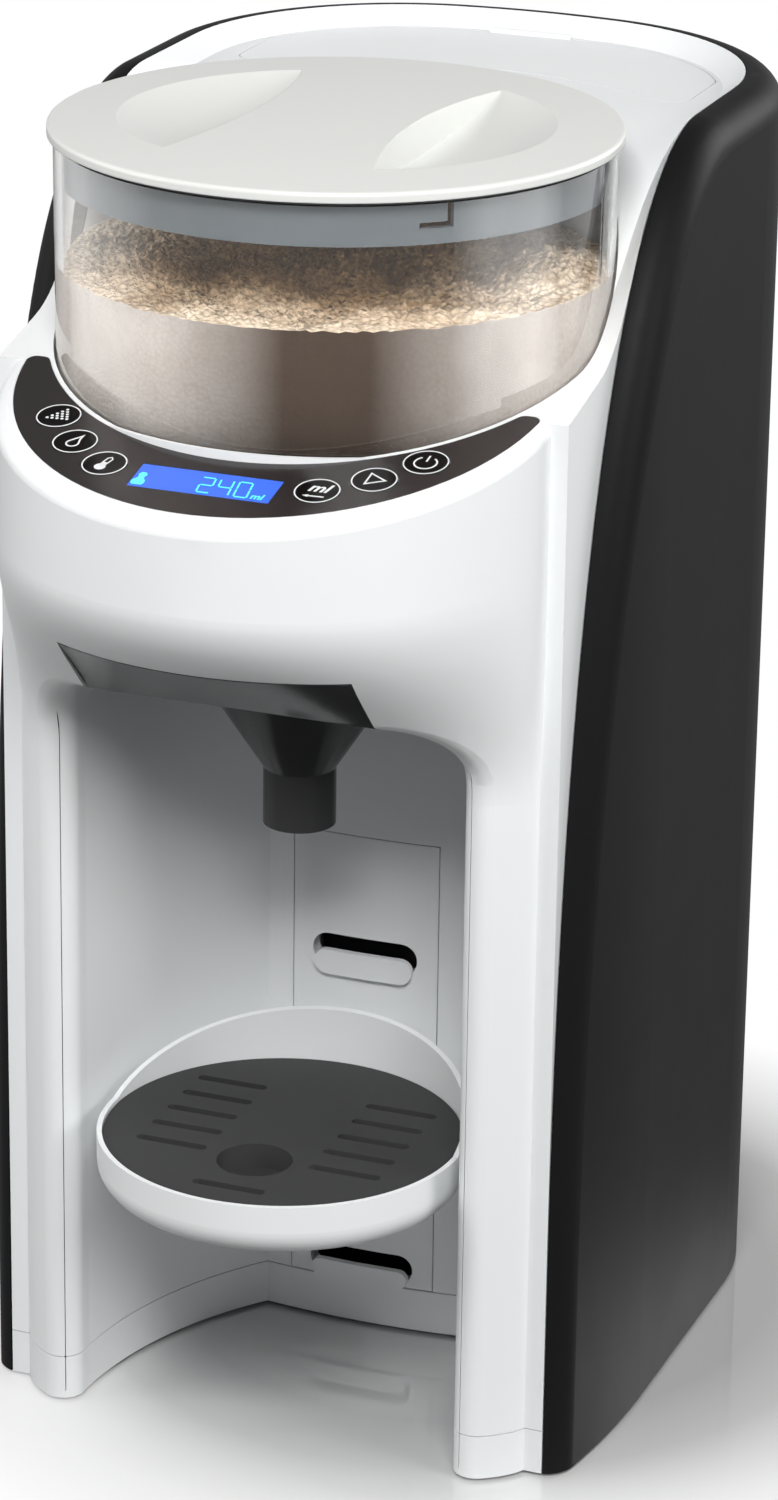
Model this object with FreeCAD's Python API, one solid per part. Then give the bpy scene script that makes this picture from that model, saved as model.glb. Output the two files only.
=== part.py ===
"""Countertop baby formula maker: a powder hopper over a dispensing head, a niche for a bottle, a tower
with a water tank behind it, and every cover, drive and water part as its own solid.

Frame: +X right, +Y towards the back, +Z up. The origin is the centre of the footprint, on the counter.
All sizes are in millimetres.
"""
import FreeCAD, Part
import math
import os

os.makedirs("parts", exist_ok=True)

# ---------------------------------------------------------------- driving dimensions
WIDTH = 178.4               # over the dark side panels
DEPTH = 277.0               # front of the head to the back of the tower
DECK_Z = 356.0              # rim of the tower deck
GAP = 0.3                   # running and assembly gap between neighbouring mouldings
FOOT_H = 1.0                # rubber pads under the base
PLINTH_TOP_Z = 13.7         # seam between the base plinth and the housing
FRONT_Y = -DEPTH / 2        # the head's nose; the front's parts are placed from here
BACK_Y = DEPTH / 2          # the back of the tower; the tank's parts are placed from here

WALL = 3.0                  # moulded wall of the white housing
SOLE_T = 2.0                # closed underside of the two legs
SHELL_WALL = 3.0            # moulded wall of the dark shell
SHELL_RIM = 10.4            # width of the dark rim round the white deck
SHELL_LIP = 7.0             # depth of the dark rim behind its front edge
SHELL_ROUND = 9.0           # rounding of the dark shell's outer edge
SHELL_FLARE = 5.2           # how far each dark side draws in at its front edge
SHELL_FLARE_LEN = 53.0      # length of that drawn-in stretch
CORNER_R = 75.0             # rear corners in plan
CROWN_R = 250.0             # slight crown of the back in plan
CORNER_Y = BACK_Y - 76.0    # where the straight sides end

SEAM_Y = FRONT_Y + 69.5     # front edge of the dark shell at the counter
SEAM_BEND_Z = 60.0          # where that edge starts to sweep back
SEAM_BEND_Y = min(FRONT_Y + 167.0, CORNER_Y - 34.0)     # where it meets the deck rim
SEAM_RISE = DECK_Z - 146.0  # handle lengths of the sweep
SEAM_RUN = 52.0
LAP = 8.0                   # how far the housing laps behind the dark shell's edge

HEAD_HALF = max(74.4, WIDTH / 2 - 14.8)    # half width of the rounded front, at least that of its panel
HEAD_BULGE = 74.0           # how far the head stands out in front of the front's centre line
LEG_BULGE = 26.0            # the same at the legs
BULGE_LOW_Z = DECK_Z - 160  # the front swells from leg to head between these heights
BULGE_HIGH_Z = DECK_Z - 98
BULGE_STEPS = 8
BEVEL = 3.2                 # rounded edge between the head's front and its sloping top

PANEL_FRONT_Z = DECK_Z - 75 # height of the sloping top at the very front
PANEL_SLOPE = math.radians(13.0)
SWEEP_Y = FRONT_Y + 92.5    # where the outer edge of the top starts to sweep up to the deck
SADDLE_Y = FRONT_Y + 94.5   # the same beside the hopper
SADDLE_MID_Y = FRONT_Y + 122.5
SADDLE_MID_Z = DECK_Z - 36.5
SADDLE_END_Y = CORNER_Y - 12.5
DECK_DROP = 5.0             # the deck's floor below its rim
DECK_BANK = 6.0             # width of the slope between rim and floor

NICHE_HALF = 55.2           # half width of the niche at its mouth
NICHE_MOUTH_Y = FRONT_Y + 70.0  # behind this its side walls draw in
NICHE_MID_X = 48.6
NICHE_MID_Y = FRONT_Y + 103.8
NICHE_BACK_X = 29.4
NICHE_BACK_Y = FRONT_Y + 138.1
NICHE_CROWN_Y = NICHE_BACK_Y - 1.9  # middle of the back wall, which bows forward
NICHE_TOP_Z = DECK_Z - 135.0
NICHE_ARCH_R = 18.0
MOUTH_R = 6.0               # rounding of the niche's front edge

HOPPER_Y = FRONT_Y + 109.0  # axis of the powder hopper
LID_R = 75.0
HOPPER_R = 73.4             # container at its rim, outside
HOPPER_BASE_R = 73.0        # container at its foot
HOPPER_WALL = 2.2
SEAT_Z = DECK_Z - 72.0      # floor of the recess that the hopper stands in
SEAT_RIM_R = 74.9           # raised ring in front of the hopper
SEAT_RIM_Z = SEAT_Z + 7.0
HOPPER_TOP_Z = DECK_Z - 0.8 # rim of the container
GASKET_T = 0.6
LID_T = 2.6
LID_CROWN = 2.0
SKIRT_H = 12.0
SKIRT_R = 70.6
SKIRT_T = 2.0
BAYONETS = 3                # L-shaped slots in the skirt
BAYONET_ANGLE = -48.0       # degrees from +X to the first one
BAYONET_W = 9.0
BAYONET_H = 8.0
BAYONET_SLOT = 1.6
RECESS_ARC_R = 53.0         # outer edge of the two finger recesses
RECESS_SHIFT = 5.0
RECESS_BOWL_R = 145.0
RECESS_DEPTH = 10.0
RECESS_WALL = 1.8
GRIP_HALF = 21.5            # half width of the grip bar between them
GRIP_R = 160.0              # hollow of the grip bar's sides

PANEL_Y = FRONT_Y + 78.5    # centre of the black control panel's outer edge
PANEL_R = 71.3
PANEL_END_Y = FRONT_Y + 72.5    # its two ends
PANEL_T = 2.0
PANEL_TIP_R = 2.4
BUTTON_R = 5.9
BUTTON_RING_R = 60.5        # the buttons stand on this circle about the panel's centre
BUTTON_FIRST = 34.0         # degrees from +X
BUTTON_STEP = 13.8
BUTTON_TRAVEL = 0.8
BUTTON_T = 0.9
STEM_R = 2.2
BOARD_DROP = 9.0            # circuit board below the panel face
BOARD_T = 1.6
BOARD_R = 67.0
BOARD_END_Y = FRONT_Y + 60.5
BOARD_POSTS = ((63.5, 68.0), (62.5, 24.5))      # radius and degrees about the panel's centre
POST_R = 2.5
SWITCH_H = 1.2
SWITCH_HALF = 3.0
DISPLAY_HALF = 19.0
DISPLAY_FRONT = 61.7        # its edges, in front of the panel's centre
DISPLAY_BACK = 51.0
DISPLAY_LEDGE = 1.5

DISPENSE_Y = FRONT_Y + 86.8 # axis of the mixing funnel
FUNNEL_PLATE_HALF = 40.0
FUNNEL_PLATE_TOP_Z = NICHE_TOP_Z + 18.0
FUNNEL_PLATE_FOOT_Y = FRONT_Y + 39.0
FUNNEL_WALL = 2.0
FUNNEL_R = 28.0
FUNNEL_RIM_Z = NICHE_TOP_Z + 17.0
FUNNEL_CONE_Z = NICHE_TOP_Z - 4.0
NOZZLE_R = 9.8
NOZZLE_TOP_Z = NICHE_TOP_Z - 32.0
NOZZLE_Z = NICHE_TOP_Z - 48.0
FUNNEL_BACK_Y = FRONT_Y + 119.5

TRAY_Y = FRONT_Y + 76.4     # axis of the bottle tray
TRAY_R = 50.5
TRAY_TOP_Z = 87.2
TRAY_H = 15.5
TRAY_WALL = 1.4
TRAY_FLOOR = 2.0
TRAY_EDGE_R = 8.0
TRAY_SHIELD_H = 15.0        # raised collar at the back of the tray
GRILLE_T = 4.0
GRILLE_DROP = 1.0
GRILLE_LEDGE = 3.0          # width of the step that carries the grille
SLOT_LEN = 20.5
SLOT_W = 3.0
SLOT_PITCH = 10.6
SLOT_INNER_X = 14.8
SLOT_FIRST = -18.0          # first cross row, from the tray's axis
SLOT_ROWS = 5
FRONT_SLOT = -38.0
HOLE_R = 10.3               # finger cup in the grille
HOLE_OFFSET = -20.0
HOLE_DEPTH = 7.0
HOOK_HALF = 12.0
HOOK_T = 3.0

RAIL_HALF = 21.5            # insert in the niche's back wall
RAIL_TOP_Z = 150.0
RAIL_T = 2.0
RAIL_SLOT_HALF = 15.6
RAIL_SLOT_H = 9.5
RAIL_SLOT_Z = 19.0
RAIL_PITCH = 32.0
RAIL_SLOTS = 4
TONGUE_HALF = 14.5
TONGUE_H = 5.2              # the tongue in front of each slot covers this much of it
TONGUE_T = 2.0
TRAY_SLOT_INDEX = 2         # the slot that the tray hooks into

MODULE = 1.0
GEAR_TEETH = 48
PINION_TEETH = 16
GEAR_Z = SEAT_Z - 22.0
GEAR_T = 8.0
TOOTH_SHARE = 0.42          # tooth thickness as a share of the pitch
ADDENDUM = 0.85
DEDENDUM = 1.2
SHAFT_R = 5.0
SHAFT_CLEAR = 0.06
BEARING_R = 8.5
BEARING_H = 9.0
HEX_R = 4.6                 # corners of the drive's hexagon
HEX_H = 8.5
HEX_GAP = 0.35
MOTOR_SHAFT_R = 2.5
MOTOR_R = 13.0
MOTOR_H = 28.0
MOTOR_PLATE_T = 3.0
PILLAR_X = 30.0
PILLAR_R = 4.0

WHEEL_R = 47.0
WHEEL_T = 7.0
POCKETS = 12
POCKET_R = 6.0
OUTLET_OFFSET = 38.5        # the powder falls this far in front of the hopper axis
FLOOR_T = 2.4
HUB_R = 9.0
JOURNAL_R = 6.3
SCRAPER_T = 1.6
SCRAPER_R = 66.0
SCRAPER_HALF_ANGLE = 24.0
CHUTE_R = 7.7
CHUTE_WALL = 1.5
CHUTE_Z = SEAT_Z - 43.0
STIRRER_ARMS = 3
STIRRER_REACH = 66.0
STIRRER_H = 21.0
STIRRER_T = 3.0

TANK_INSET = 19.5           # of the water tank, from the tower's outline
TANK_HALF = WIDTH / 2 - 29.2
TANK_FRONT_Y = BACK_Y - 58.5
TANK_SHELF_Z = 54.0
TANK_WALL = 2.2
TANK_CORNER_R = 8.0
TANK_LID_INSET = 18.0
TANK_LID_HALF = WIDTH / 2 - 23.2
TANK_LID_ARC_R = BACK_Y - 62.0 - HOPPER_Y   # its front edge, about the hopper's axis
TANK_LID_T = 2.4
TANK_LID_CORNER_R = 6.0
HINGE_HALF = 12.0           # half length of the lid's hinge knuckle
BAY_GAP = 0.8
LEDGE_Z = DECK_Z - 12.0
VALVE_Y = BACK_Y - 38.5
VALVE_R = 6.5
VALVE_STEM_R = 3.0
VALVE_T = 2.5

CHASSIS_Y = BACK_Y - 68.5
CHASSIS_T = 3.0
CHASSIS_HALF = WIDTH / 2 - 17.2
CHASSIS_TOP_Z = DECK_Z - 18.0
SHELF_T = 4.0
BASE_T = 3.0
PUMP_X = -38.0
PUMP_R = 14.0
PUMP_H = 52.0
HEATER_X = -30.0
HEATER_HALF = 17.0
HEATER_Z = 100.0
HEATER_H = 96.0
HEATER_D = 24.0
TUBE_R = 3.0
NOZZLE_X = -16.0
WATER_NOZZLE_R = 4.0
WATER_Z = SEAT_Z - 36.0
GLAND_R = 6.0
GLAND_BORE_R = 3.2
GLAND_X = 0.0
GLAND_Z = 24.0
FOOT_R = 9.0
FOOT_FRONT_R = 7.0
FOOT_X = 64.5               # of the pads under the legs
FOOT_PITCH = 36.0           # between the two pads of a leg
FOOT_BACK_X = 58.0
FOOT_BACK_Y = BACK_Y - 43.5
POWER_X = 14.0              # power board: its near lower corner, width and height
POWER_Z = 110.0
POWER_W = 48.0
POWER_H = 80.0
POWER_BOARD_T = 1.6
POWER_PART_D = 22.0         # its tallest part stands out this far
CAN_R = 5.0

CY = FRONT_Y + HEAD_BULGE       # centre line of the rounded front
BODY_HALF = WIDTH / 2 - SHELL_RIM
SEAT_R = HOPPER_R + GAP
CUP_Z = SEAT_Z + GAP
CUP_FLOOR_Z = CUP_Z + FLOOR_T
WHEEL_Z = CUP_FLOOR_Z + GAP
LID_Z = HOPPER_TOP_Z + GASKET_T + 2 * GAP
LID_TOP_Z = LID_Z + LID_T
OUTLET_Y = HOPPER_Y - OUTLET_OFFSET
PINION_Y = HOPPER_Y + MODULE * (GEAR_TEETH + PINION_TEETH) / 2
DECK_FLOOR_Z = DECK_Z - DECK_DROP
HINGE_R = TANK_LID_T / 2
HINGE_Y = BACK_Y - TANK_LID_INSET
BASE_TOP_Z = FOOT_H + BASE_T
UP = FreeCAD.Vector(0, 0, 1)


# ---------------------------------------------------------------- helpers
def v(x, y, z):
    return FreeCAD.Vector(x, y, z)


def save(name, shape):
    """Write one sub-part."""
    shape.exportStep(os.path.join("parts", name + ".step"))


def box(x0, x1, y0, y1, z0, z1):
    return Part.makeBox(x1 - x0, y1 - y0, z1 - z0, v(x0, y0, z0))


def rod(r, z0, z1, x=0.0, y=0.0):
    return Part.makeCylinder(r, z1 - z0, v(x, y, z0))


def cone(r0, r1, z0, z1, x=0.0, y=0.0):
    return Part.makeCone(r0, r1, z1 - z0, v(x, y, z0))


def line(a, b):
    return Part.makeLine(a, b)


def arc(a, m, b):
    return Part.Arc(a, m, b).toShape()


def extrude(edges, direction):
    return Part.Face(Part.Wire(edges)).extrude(direction)


def fuse(first, *others):
    return first.fuse(list(others)).removeSplitter()


def mirrored(shape):
    return shape.mirror(v(0, 0, 0), v(1, 0, 0))


def spun(shape, degrees, x=0.0, y=0.0):
    turned = shape.copy()
    turned.rotate(v(x, y, 0), UP, degrees)
    return turned


def rounded_box(x0, x1, y0, y1, z0, z1, r):
    """A block with its four upright edges rounded."""
    block = box(x0, x1, y0, y1, z0, z1)
    upright = [e for e in block.Edges if abs(e.Length - (z1 - z0)) < 1e-6 and is_upright(e)]
    return block.makeFillet(r, upright)


def is_upright(edge):
    a, b = edge.Vertexes[0].Point, edge.Vertexes[-1].Point
    return abs(a.x - b.x) < 1e-6 and abs(a.y - b.y) < 1e-6


# ---------------------------------------------------------------- shared outlines
def plan(inset, front, z, flare=0.0):
    """Closed plan outline of the tower, drawn in by inset, from y = front to the back."""
    half = WIDTH / 2 - inset
    r = CORNER_R - inset
    back_r = CROWN_R - inset
    back_c = DEPTH / 2 - CROWN_R
    centre = v(WIDTH / 2 - CORNER_R, CORNER_Y, z)
    out = (centre - v(0, back_c, z)).normalize()
    tangent = centre + out * r
    mid_dir = (v(1, 0, 0) + out).normalize()
    left = lambda p: v(-p.x, p.y, p.z)
    side_end = v(half, CORNER_Y, z)
    corner_mid = centre + mid_dir * r
    if flare > 0:
        side_start = v(half - flare, front, z)
        bend = v(half, front + SHELL_FLARE_LEN, z)
        bow = v(half - flare / 4, front + SHELL_FLARE_LEN / 2, z)
        right = [arc(side_start, bow, bend), line(bend, side_end)]
    else:
        side_start = v(half, front, z)
        right = [line(side_start, side_end)]
    right.append(arc(side_end, corner_mid, tangent))
    mirror = [e.mirror(v(0, 0, 0), v(1, 0, 0)) for e in reversed(right)]
    back = arc(tangent, v(0, back_c + back_r, z), left(tangent))
    return Part.Wire(right + [back] + mirror + [line(left(side_start), side_start)])


def plan_block(inset, front, z0, z1, flare=0.0):
    return Part.Face(plan(inset, front, z0, flare)).extrude(v(0, 0, z1 - z0))


def seam_curve(inset, x):
    """Side view of the dark shell's front edge, drawn in by inset: upright, sweep, level."""
    y, top = SEAM_Y + inset, DECK_Z - inset
    low, high = v(x, y, -5), v(x, y, SEAM_BEND_Z)
    level = v(x, SEAM_BEND_Y, top)
    sweep = Part.BezierCurve()
    sweep.setPoles([high, v(x, y, SEAM_BEND_Z + SEAM_RISE), v(x, SEAM_BEND_Y - SEAM_RUN, top), level])
    return [line(low, high), sweep.toShape(), line(level, v(x, DEPTH, top))]


def behind_seam(inset):
    """Everything behind and below the dark shell's front edge."""
    x = -WIDTH
    edges = seam_curve(inset, x)
    far, low = v(x, DEPTH, DECK_Z - inset), v(x, DEPTH, -5)
    start = v(x, SEAM_Y + inset, -5)
    return extrude(edges + [line(far, low), line(low, start)], v(2 * WIDTH, 0, 0))


def bulge(z):
    """How far the rounded front stands out at height z: a smooth swell from leg to head."""
    t = min(max((z - BULGE_LOW_Z) / (BULGE_HIGH_Z - BULGE_LOW_Z), 0.0), 1.0)
    return LEG_BULGE + (HEAD_BULGE - LEG_BULGE) * (3 * t * t - 2 * t ** 3)


def front_section(z, inset):
    """Half ellipse of the front, closed behind the centre line."""
    half, depth = HEAD_HALF - inset, bulge(z) - inset
    right, left, nose = v(half, CY, z), v(-half, CY, z), v(0, CY - depth, z)
    if depth > half:
        ellipse = Part.Ellipse(nose, right, v(0, CY, z))
        curve = Part.Arc(ellipse, *sorted_span(ellipse, left, nose, right)).toShape()
    else:
        ellipse = Part.Ellipse(right, nose, v(0, CY, z))
        curve = Part.Arc(ellipse, *sorted_span(ellipse, left, nose, right)).toShape()
    ends = [curve.valueAt(curve.FirstParameter), curve.valueAt(curve.LastParameter)]
    rear = [v(p.x, CY + WALL, z) for p in ends]
    return Part.Wire([curve, line(ends[1], rear[1]), line(rear[1], rear[0]), line(rear[0], ends[0])])


def sorted_span(ellipse, left, nose, right):
    """Parameters of the arc from one end through the nose to the other."""
    a, n, b = (ellipse.parameter(p) for p in (left, nose, right))
    turn = 2 * math.pi
    if (n - a) % turn > (b - a) % turn:
        a, b = b, a
    return a, a + (b - a) % turn


def front_form(inset):
    """The white front: legs, swell and head, up past the deck."""
    steps = [BULGE_LOW_Z + (BULGE_HIGH_Z - BULGE_LOW_Z) * i / BULGE_STEPS for i in range(BULGE_STEPS + 1)]
    swell = Part.makeLoft([front_section(z, inset) for z in steps], True, False)
    legs = Part.Face(front_section(0.0, inset)).extrude(v(0, 0, steps[0]))
    head = Part.Face(front_section(steps[-1], inset)).extrude(v(0, 0, DECK_Z - steps[-1]))
    return legs.fuse([swell, head])


def slope_z(y):
    """Height of the sloping top at y."""
    return PANEL_FRONT_Z + (y + DEPTH / 2) * math.tan(PANEL_SLOPE)


def above_top(x, drop, swept):
    """Closed outline, in the plane at x, of everything above the housing's top.

    With swept it follows the dark shell's edge, otherwise the lower saddle round the hopper.
    """
    front, back, sky = -DEPTH, DEPTH, DECK_Z + 60
    tangent_in = v(0, math.cos(PANEL_SLOPE), math.sin(PANEL_SLOPE))
    curve = Part.BSplineCurve()
    if swept:
        start_y = SWEEP_Y
        end = v(x, SEAM_BEND_Y, DECK_Z - drop)
        edge = seam_curve(0, x)[1].Curve
        through = [edge.value(t) - v(0, 0, drop) for t in (0.62, 0.75, 0.88)]
    else:
        start_y = SADDLE_Y
        end = v(x, SADDLE_END_Y, DECK_Z - DECK_DROP - drop)
        through = [v(x, SADDLE_MID_Y, SADDLE_MID_Z - drop)]
    start = v(x, start_y, slope_z(start_y) - drop)
    curve.interpolate([start] + through + [end], InitialTangent=tangent_in, FinalTangent=v(0, 1, 0))
    first = v(x, front, slope_z(front) - drop)
    last = v(x, back, end.z)
    return Part.Wire([line(first, start), curve.toShape(), line(end, last), line(last, v(x, back, sky)),
                      line(v(x, back, sky), v(x, front, sky)), line(v(x, front, sky), first)])


def top_cutter(drop=0.0):
    """Everything above the housing's top: outer sweep, saddle trough and sunken deck."""
    far = WIDTH
    swept = Part.Face(above_top(-far, drop, True)).extrude(v(2 * far, 0, 0))
    inner = BODY_HALF - DECK_BANK
    trough = Part.Face(above_top(-inner, drop, False)).extrude(v(2 * inner, 0, 0))
    bank = Part.makeLoft([above_top(inner, drop, False), above_top(BODY_HALF, drop, True)], True, True)
    keep = plan_block(SHELL_RIM + DECK_BANK, SADDLE_END_Y - 30, 0, DECK_Z + 60)
    ahead = box(-far, far, -DEPTH, SADDLE_END_Y, 0, DECK_Z + 60)
    trough = trough.common(ahead.fuse(keep))
    bank_zone = box(-far, far, -DEPTH, SADDLE_END_Y, 0, DECK_Z + 60)
    banks = [s.common(bank_zone) for s in (bank, mirrored(bank))]
    floor = plan(SHELL_RIM + DECK_BANK, SADDLE_END_Y - 0.01, DECK_Z - DECK_DROP - drop)
    rim = plan(SHELL_RIM, SADDLE_END_Y - 0.01, DECK_Z - drop)
    tub = Part.makeLoft([floor, rim], True, True)
    return swept.fuse([trough, tub] + banks)


def niche(grow):
    """The bottle niche: plan outline times arch, grown outwards by grow."""
    half, top = NICHE_HALF + grow, NICHE_TOP_Z + grow
    front = -DEPTH
    mouth = v(half, NICHE_MOUTH_Y, -5)
    mid = v(NICHE_MID_X + grow, NICHE_MID_Y, -5)
    corner = v(NICHE_BACK_X + 0.9 * grow, NICHE_BACK_Y + grow, -5)
    left = lambda p: v(-p.x, p.y, p.z)
    plan_edges = [line(v(half, front, -5), mouth), arc(mouth, mid, corner),
                  arc(corner, v(0, NICHE_CROWN_Y + grow, -5), left(corner)),
                  arc(left(corner), left(mid), left(mouth)), line(left(mouth), v(-half, front, -5)),
                  line(v(-half, front, -5), v(half, front, -5))]
    well = extrude(plan_edges, v(0, 0, top + 5))
    r = NICHE_ARCH_R + grow
    lean = r * (1 - math.sqrt(0.5))
    y = front - 1
    arch_edges = [line(v(-half - 1, y, -6), v(half + 1, y, -6)), line(v(half + 1, y, -6), v(half + 1, y, top - r)),
                  line(v(half + 1, y, top - r), v(half, y, top - r)),
                  arc(v(half, y, top - r), v(half - lean, y, top - lean), v(half - r, y, top)),
                  line(v(half - r, y, top), v(-half + r, y, top)),
                  arc(v(-half + r, y, top), v(-half + lean, y, top - lean), v(-half, y, top - r)),
                  line(v(-half, y, top - r), v(-half - 1, y, top - r)),
                  line(v(-half - 1, y, top - r), v(-half - 1, y, -6))]
    return well.common(extrude(arch_edges, v(0, 2 * DEPTH, 0)))


def seat_bore(grow, z0):
    return rod(SEAT_R + grow, z0, DECK_Z + 60, 0, HOPPER_Y)


def slab_below_top(top_drop, thickness):
    """The layer that lies top_drop below the sloping top and follows it."""
    half, y0, y1 = WIDTH, -DEPTH, DEPTH / 4
    corners = [(y0, top_drop), (y1, top_drop), (y1, top_drop + thickness), (y0, top_drop + thickness)]
    points = [v(-half, y, slope_z(y) - drop / math.cos(PANEL_SLOPE)) for y, drop in corners]
    return Part.Face(Part.makePolygon(points + points[:1])).extrude(v(2 * half, 0, 0))


def crescent(outer_r, inner_r, end_y, tip_r=0.0):
    """A crescent in plan: its own arc in front, an arc round the hopper behind, two blunt ends."""
    moon = rod(outer_r, 200, DECK_Z, 0, PANEL_Y).cut(rod(inner_r, 190, DECK_Z + 10, 0, HOPPER_Y))
    moon = moon.common(box(-WIDTH, WIDTH, -DEPTH, end_y, 190, DECK_Z))
    if tip_r > 0:
        tips = [e for e in moon.Edges if is_upright(e) and abs(e.Vertexes[0].Point.x) > HEAD_HALF / 2]
        moon = moon.makeFillet(tip_r, tips)
    return moon


def panel_point(r, degrees):
    """A place on the sloping top, by radius and angle about the panel's centre."""
    x = r * math.cos(math.radians(degrees))
    y = PANEL_Y - r * math.sin(math.radians(degrees))
    return v(x, y, slope_z(y))


PANEL_NORMAL = FreeCAD.Vector(0, -math.sin(PANEL_SLOPE), math.cos(PANEL_SLOPE))


def panel_rod(r, centre, low, high):
    """A rod square to the sloping top, from low to high along its normal."""
    return Part.makeCylinder(r, high - low, centre + PANEL_NORMAL * low, PANEL_NORMAL)


def button_centres():
    right = [panel_point(BUTTON_RING_R, BUTTON_FIRST + BUTTON_STEP * i) for i in range(3)]
    return [v(-p.x, p.y, p.z) for p in right] + right[::-1]


def display_block(grow, low, high):
    """The display's window, square to the sloping top."""
    half = DISPLAY_HALF + grow
    y0, y1 = PANEL_Y - DISPLAY_FRONT - grow, PANEL_Y - DISPLAY_BACK + grow
    plan_corners = ((-half, y0), (half, y0), (half, y1), (-half, y1))
    corners = [v(x, y, slope_z(y)) + PANEL_NORMAL * low for x, y in plan_corners]
    return Part.Face(Part.makePolygon(corners + corners[:1])).extrude(PANEL_NORMAL * (high - low))


# ---------------------------------------------------------------- white mouldings
def housing_body():
    """Outer form of housing and plinth, hollowed, with the niche and its liner."""
    tower = plan_block(SHELL_RIM, SEAM_Y + 0.5, 0, DECK_Z)
    outer = front_form(0).fuse(tower).cut(top_cutter())
    outer = round_head(outer)
    hollow = front_form(WALL).fuse(plan_block(SHELL_RIM + WALL, SEAM_Y + 0.5 + WALL, 0, DECK_Z))
    under_top = box(-WIDTH, WIDTH, -DEPTH, DEPTH, -5, DECK_Z + 50).cut(top_cutter(WALL + 0.5))
    hollow = hollow.common(under_top).cut(niche(WALL)).cut(seat_bore(WALL, SEAT_Z - WALL))
    behind = behind_seam(LAP).common(box(-WIDTH, WIDTH, -DEPTH, DEPTH, -5, DECK_Z - DECK_DROP - WALL - LAP))
    behind = behind.cut(niche(WALL)).cut(seat_bore(WALL, SEAT_Z - WALL)).common(under_top)
    hollow = hollow.cut(box(-WIDTH, WIDTH, -DEPTH, SEAM_Y + LAP, 0, FOOT_H + SOLE_T))
    body = outer.cut(niche(0))
    body = round_mouth(body)
    return body.cut([hollow, behind, seat_bore(0, SEAT_Z)])


def edge_middle(edge):
    return edge.valueAt((edge.FirstParameter + edge.LastParameter) / 2)


def round_head(body):
    """Soften the edge where the head's front meets its sloping top."""
    body = body.removeSplitter()
    on_slope = [e for e in body.Edges if abs(edge_middle(e).z - slope_z(edge_middle(e).y)) < 0.05]
    front = [e for e in on_slope if edge_middle(e).y < CY - HEAD_BULGE / 2]
    return body.makeFillet(BEVEL, front)


def round_mouth(body):
    """Soften the front edge of the niche all the way round its arch."""
    edges = []
    well = niche(0)
    skin = Part.Compound([f for f in well.Faces])
    for e in body.Edges:
        ends = [e.valueAt(e.FirstParameter + (e.LastParameter - e.FirstParameter) * t) for t in (0.2, 0.5, 0.8)]
        if max(p.y for p in ends) > SEAM_Y - 2 or min(p.z for p in ends) < 1:
            continue
        if all(skin.distToShape(Part.Vertex(p))[0] < 0.01 for p in ends):
            edges.append(e)
    return body.makeFillet(MOUTH_R, edges)


def funnel_opening():
    """What the mixing funnel's drawer needs in the head's underside and front."""
    half = FUNNEL_PLATE_HALF + GAP
    return box(-half, half, -DEPTH, FUNNEL_BACK_Y + GAP, NICHE_TOP_Z - 2, FUNNEL_PLATE_TOP_Z + GAP)


def panel_windows():
    """Recess and openings for the control panel, its display and its buttons."""
    moon = crescent(PANEL_R + GAP / 2, SEAT_RIM_R, PANEL_END_Y + GAP / 2, PANEL_TIP_R)
    recess = moon.common(slab_below_top(-5, 5 + PANEL_T))
    openings = [display_block(-DISPLAY_LEDGE, -2 * WALL, 1)]
    openings += [panel_rod(STEM_R + GAP, c, -2 * WALL, 1) for c in button_centres()]
    return [recess] + openings


def seat_details():
    """What the seat carries: the ring in front of the hopper and the drive's bearing."""
    ring = rod(SEAT_RIM_R, SEAT_Z, SEAT_RIM_Z, 0, HOPPER_Y).cut(seat_bore(0, SEAT_Z - 1))
    ring = ring.common(box(-WIDTH, WIDTH, -DEPTH, HOPPER_Y, 0, DECK_Z))
    bearing = rod(BEARING_R, SEAT_Z - WALL - BEARING_H, SEAT_Z, 0, HOPPER_Y)
    return [ring, bearing]


def board_posts():
    posts = [panel_rod(POST_R, panel_point(r, a), -BOARD_DROP, -PANEL_T - 0.5) for r, a in BOARD_POSTS]
    return posts + [mirrored(p) for p in posts]


def tank_block(grow, z0, z1):
    """Plan of the water tank: the tower's rounded back, and a straight front."""
    half = TANK_HALF + grow
    body = plan_block(TANK_INSET - grow, 0, z0, z1)
    body = body.common(box(-half, half, TANK_FRONT_Y - grow, DEPTH, z0, z1))
    corners = [e for e in body.Edges if is_upright(e) and abs(abs(e.Vertexes[0].Point.x) - half) < 0.01]
    return body.makeFillet(TANK_CORNER_R + grow, corners)


def lid_plan(grow, z0, z1):
    """Plan of the water tank's lid: the tower's rounded back, and a front edge round the hopper."""
    half = TANK_LID_HALF + grow
    plate = plan_block(TANK_LID_INSET - grow, 0, z0, z1).common(box(-half, half, 0, DEPTH, z0, z1))
    plate = plate.cut(rod(TANK_LID_ARC_R - grow, z0 - 1, z1 + 1, 0, HOPPER_Y))
    corners = [e for e in plate.Edges if is_upright(e) and abs(abs(e.Vertexes[0].Point.x) - half) < 0.01]
    return plate.makeFillet(TANK_LID_CORNER_R + grow, corners)


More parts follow.
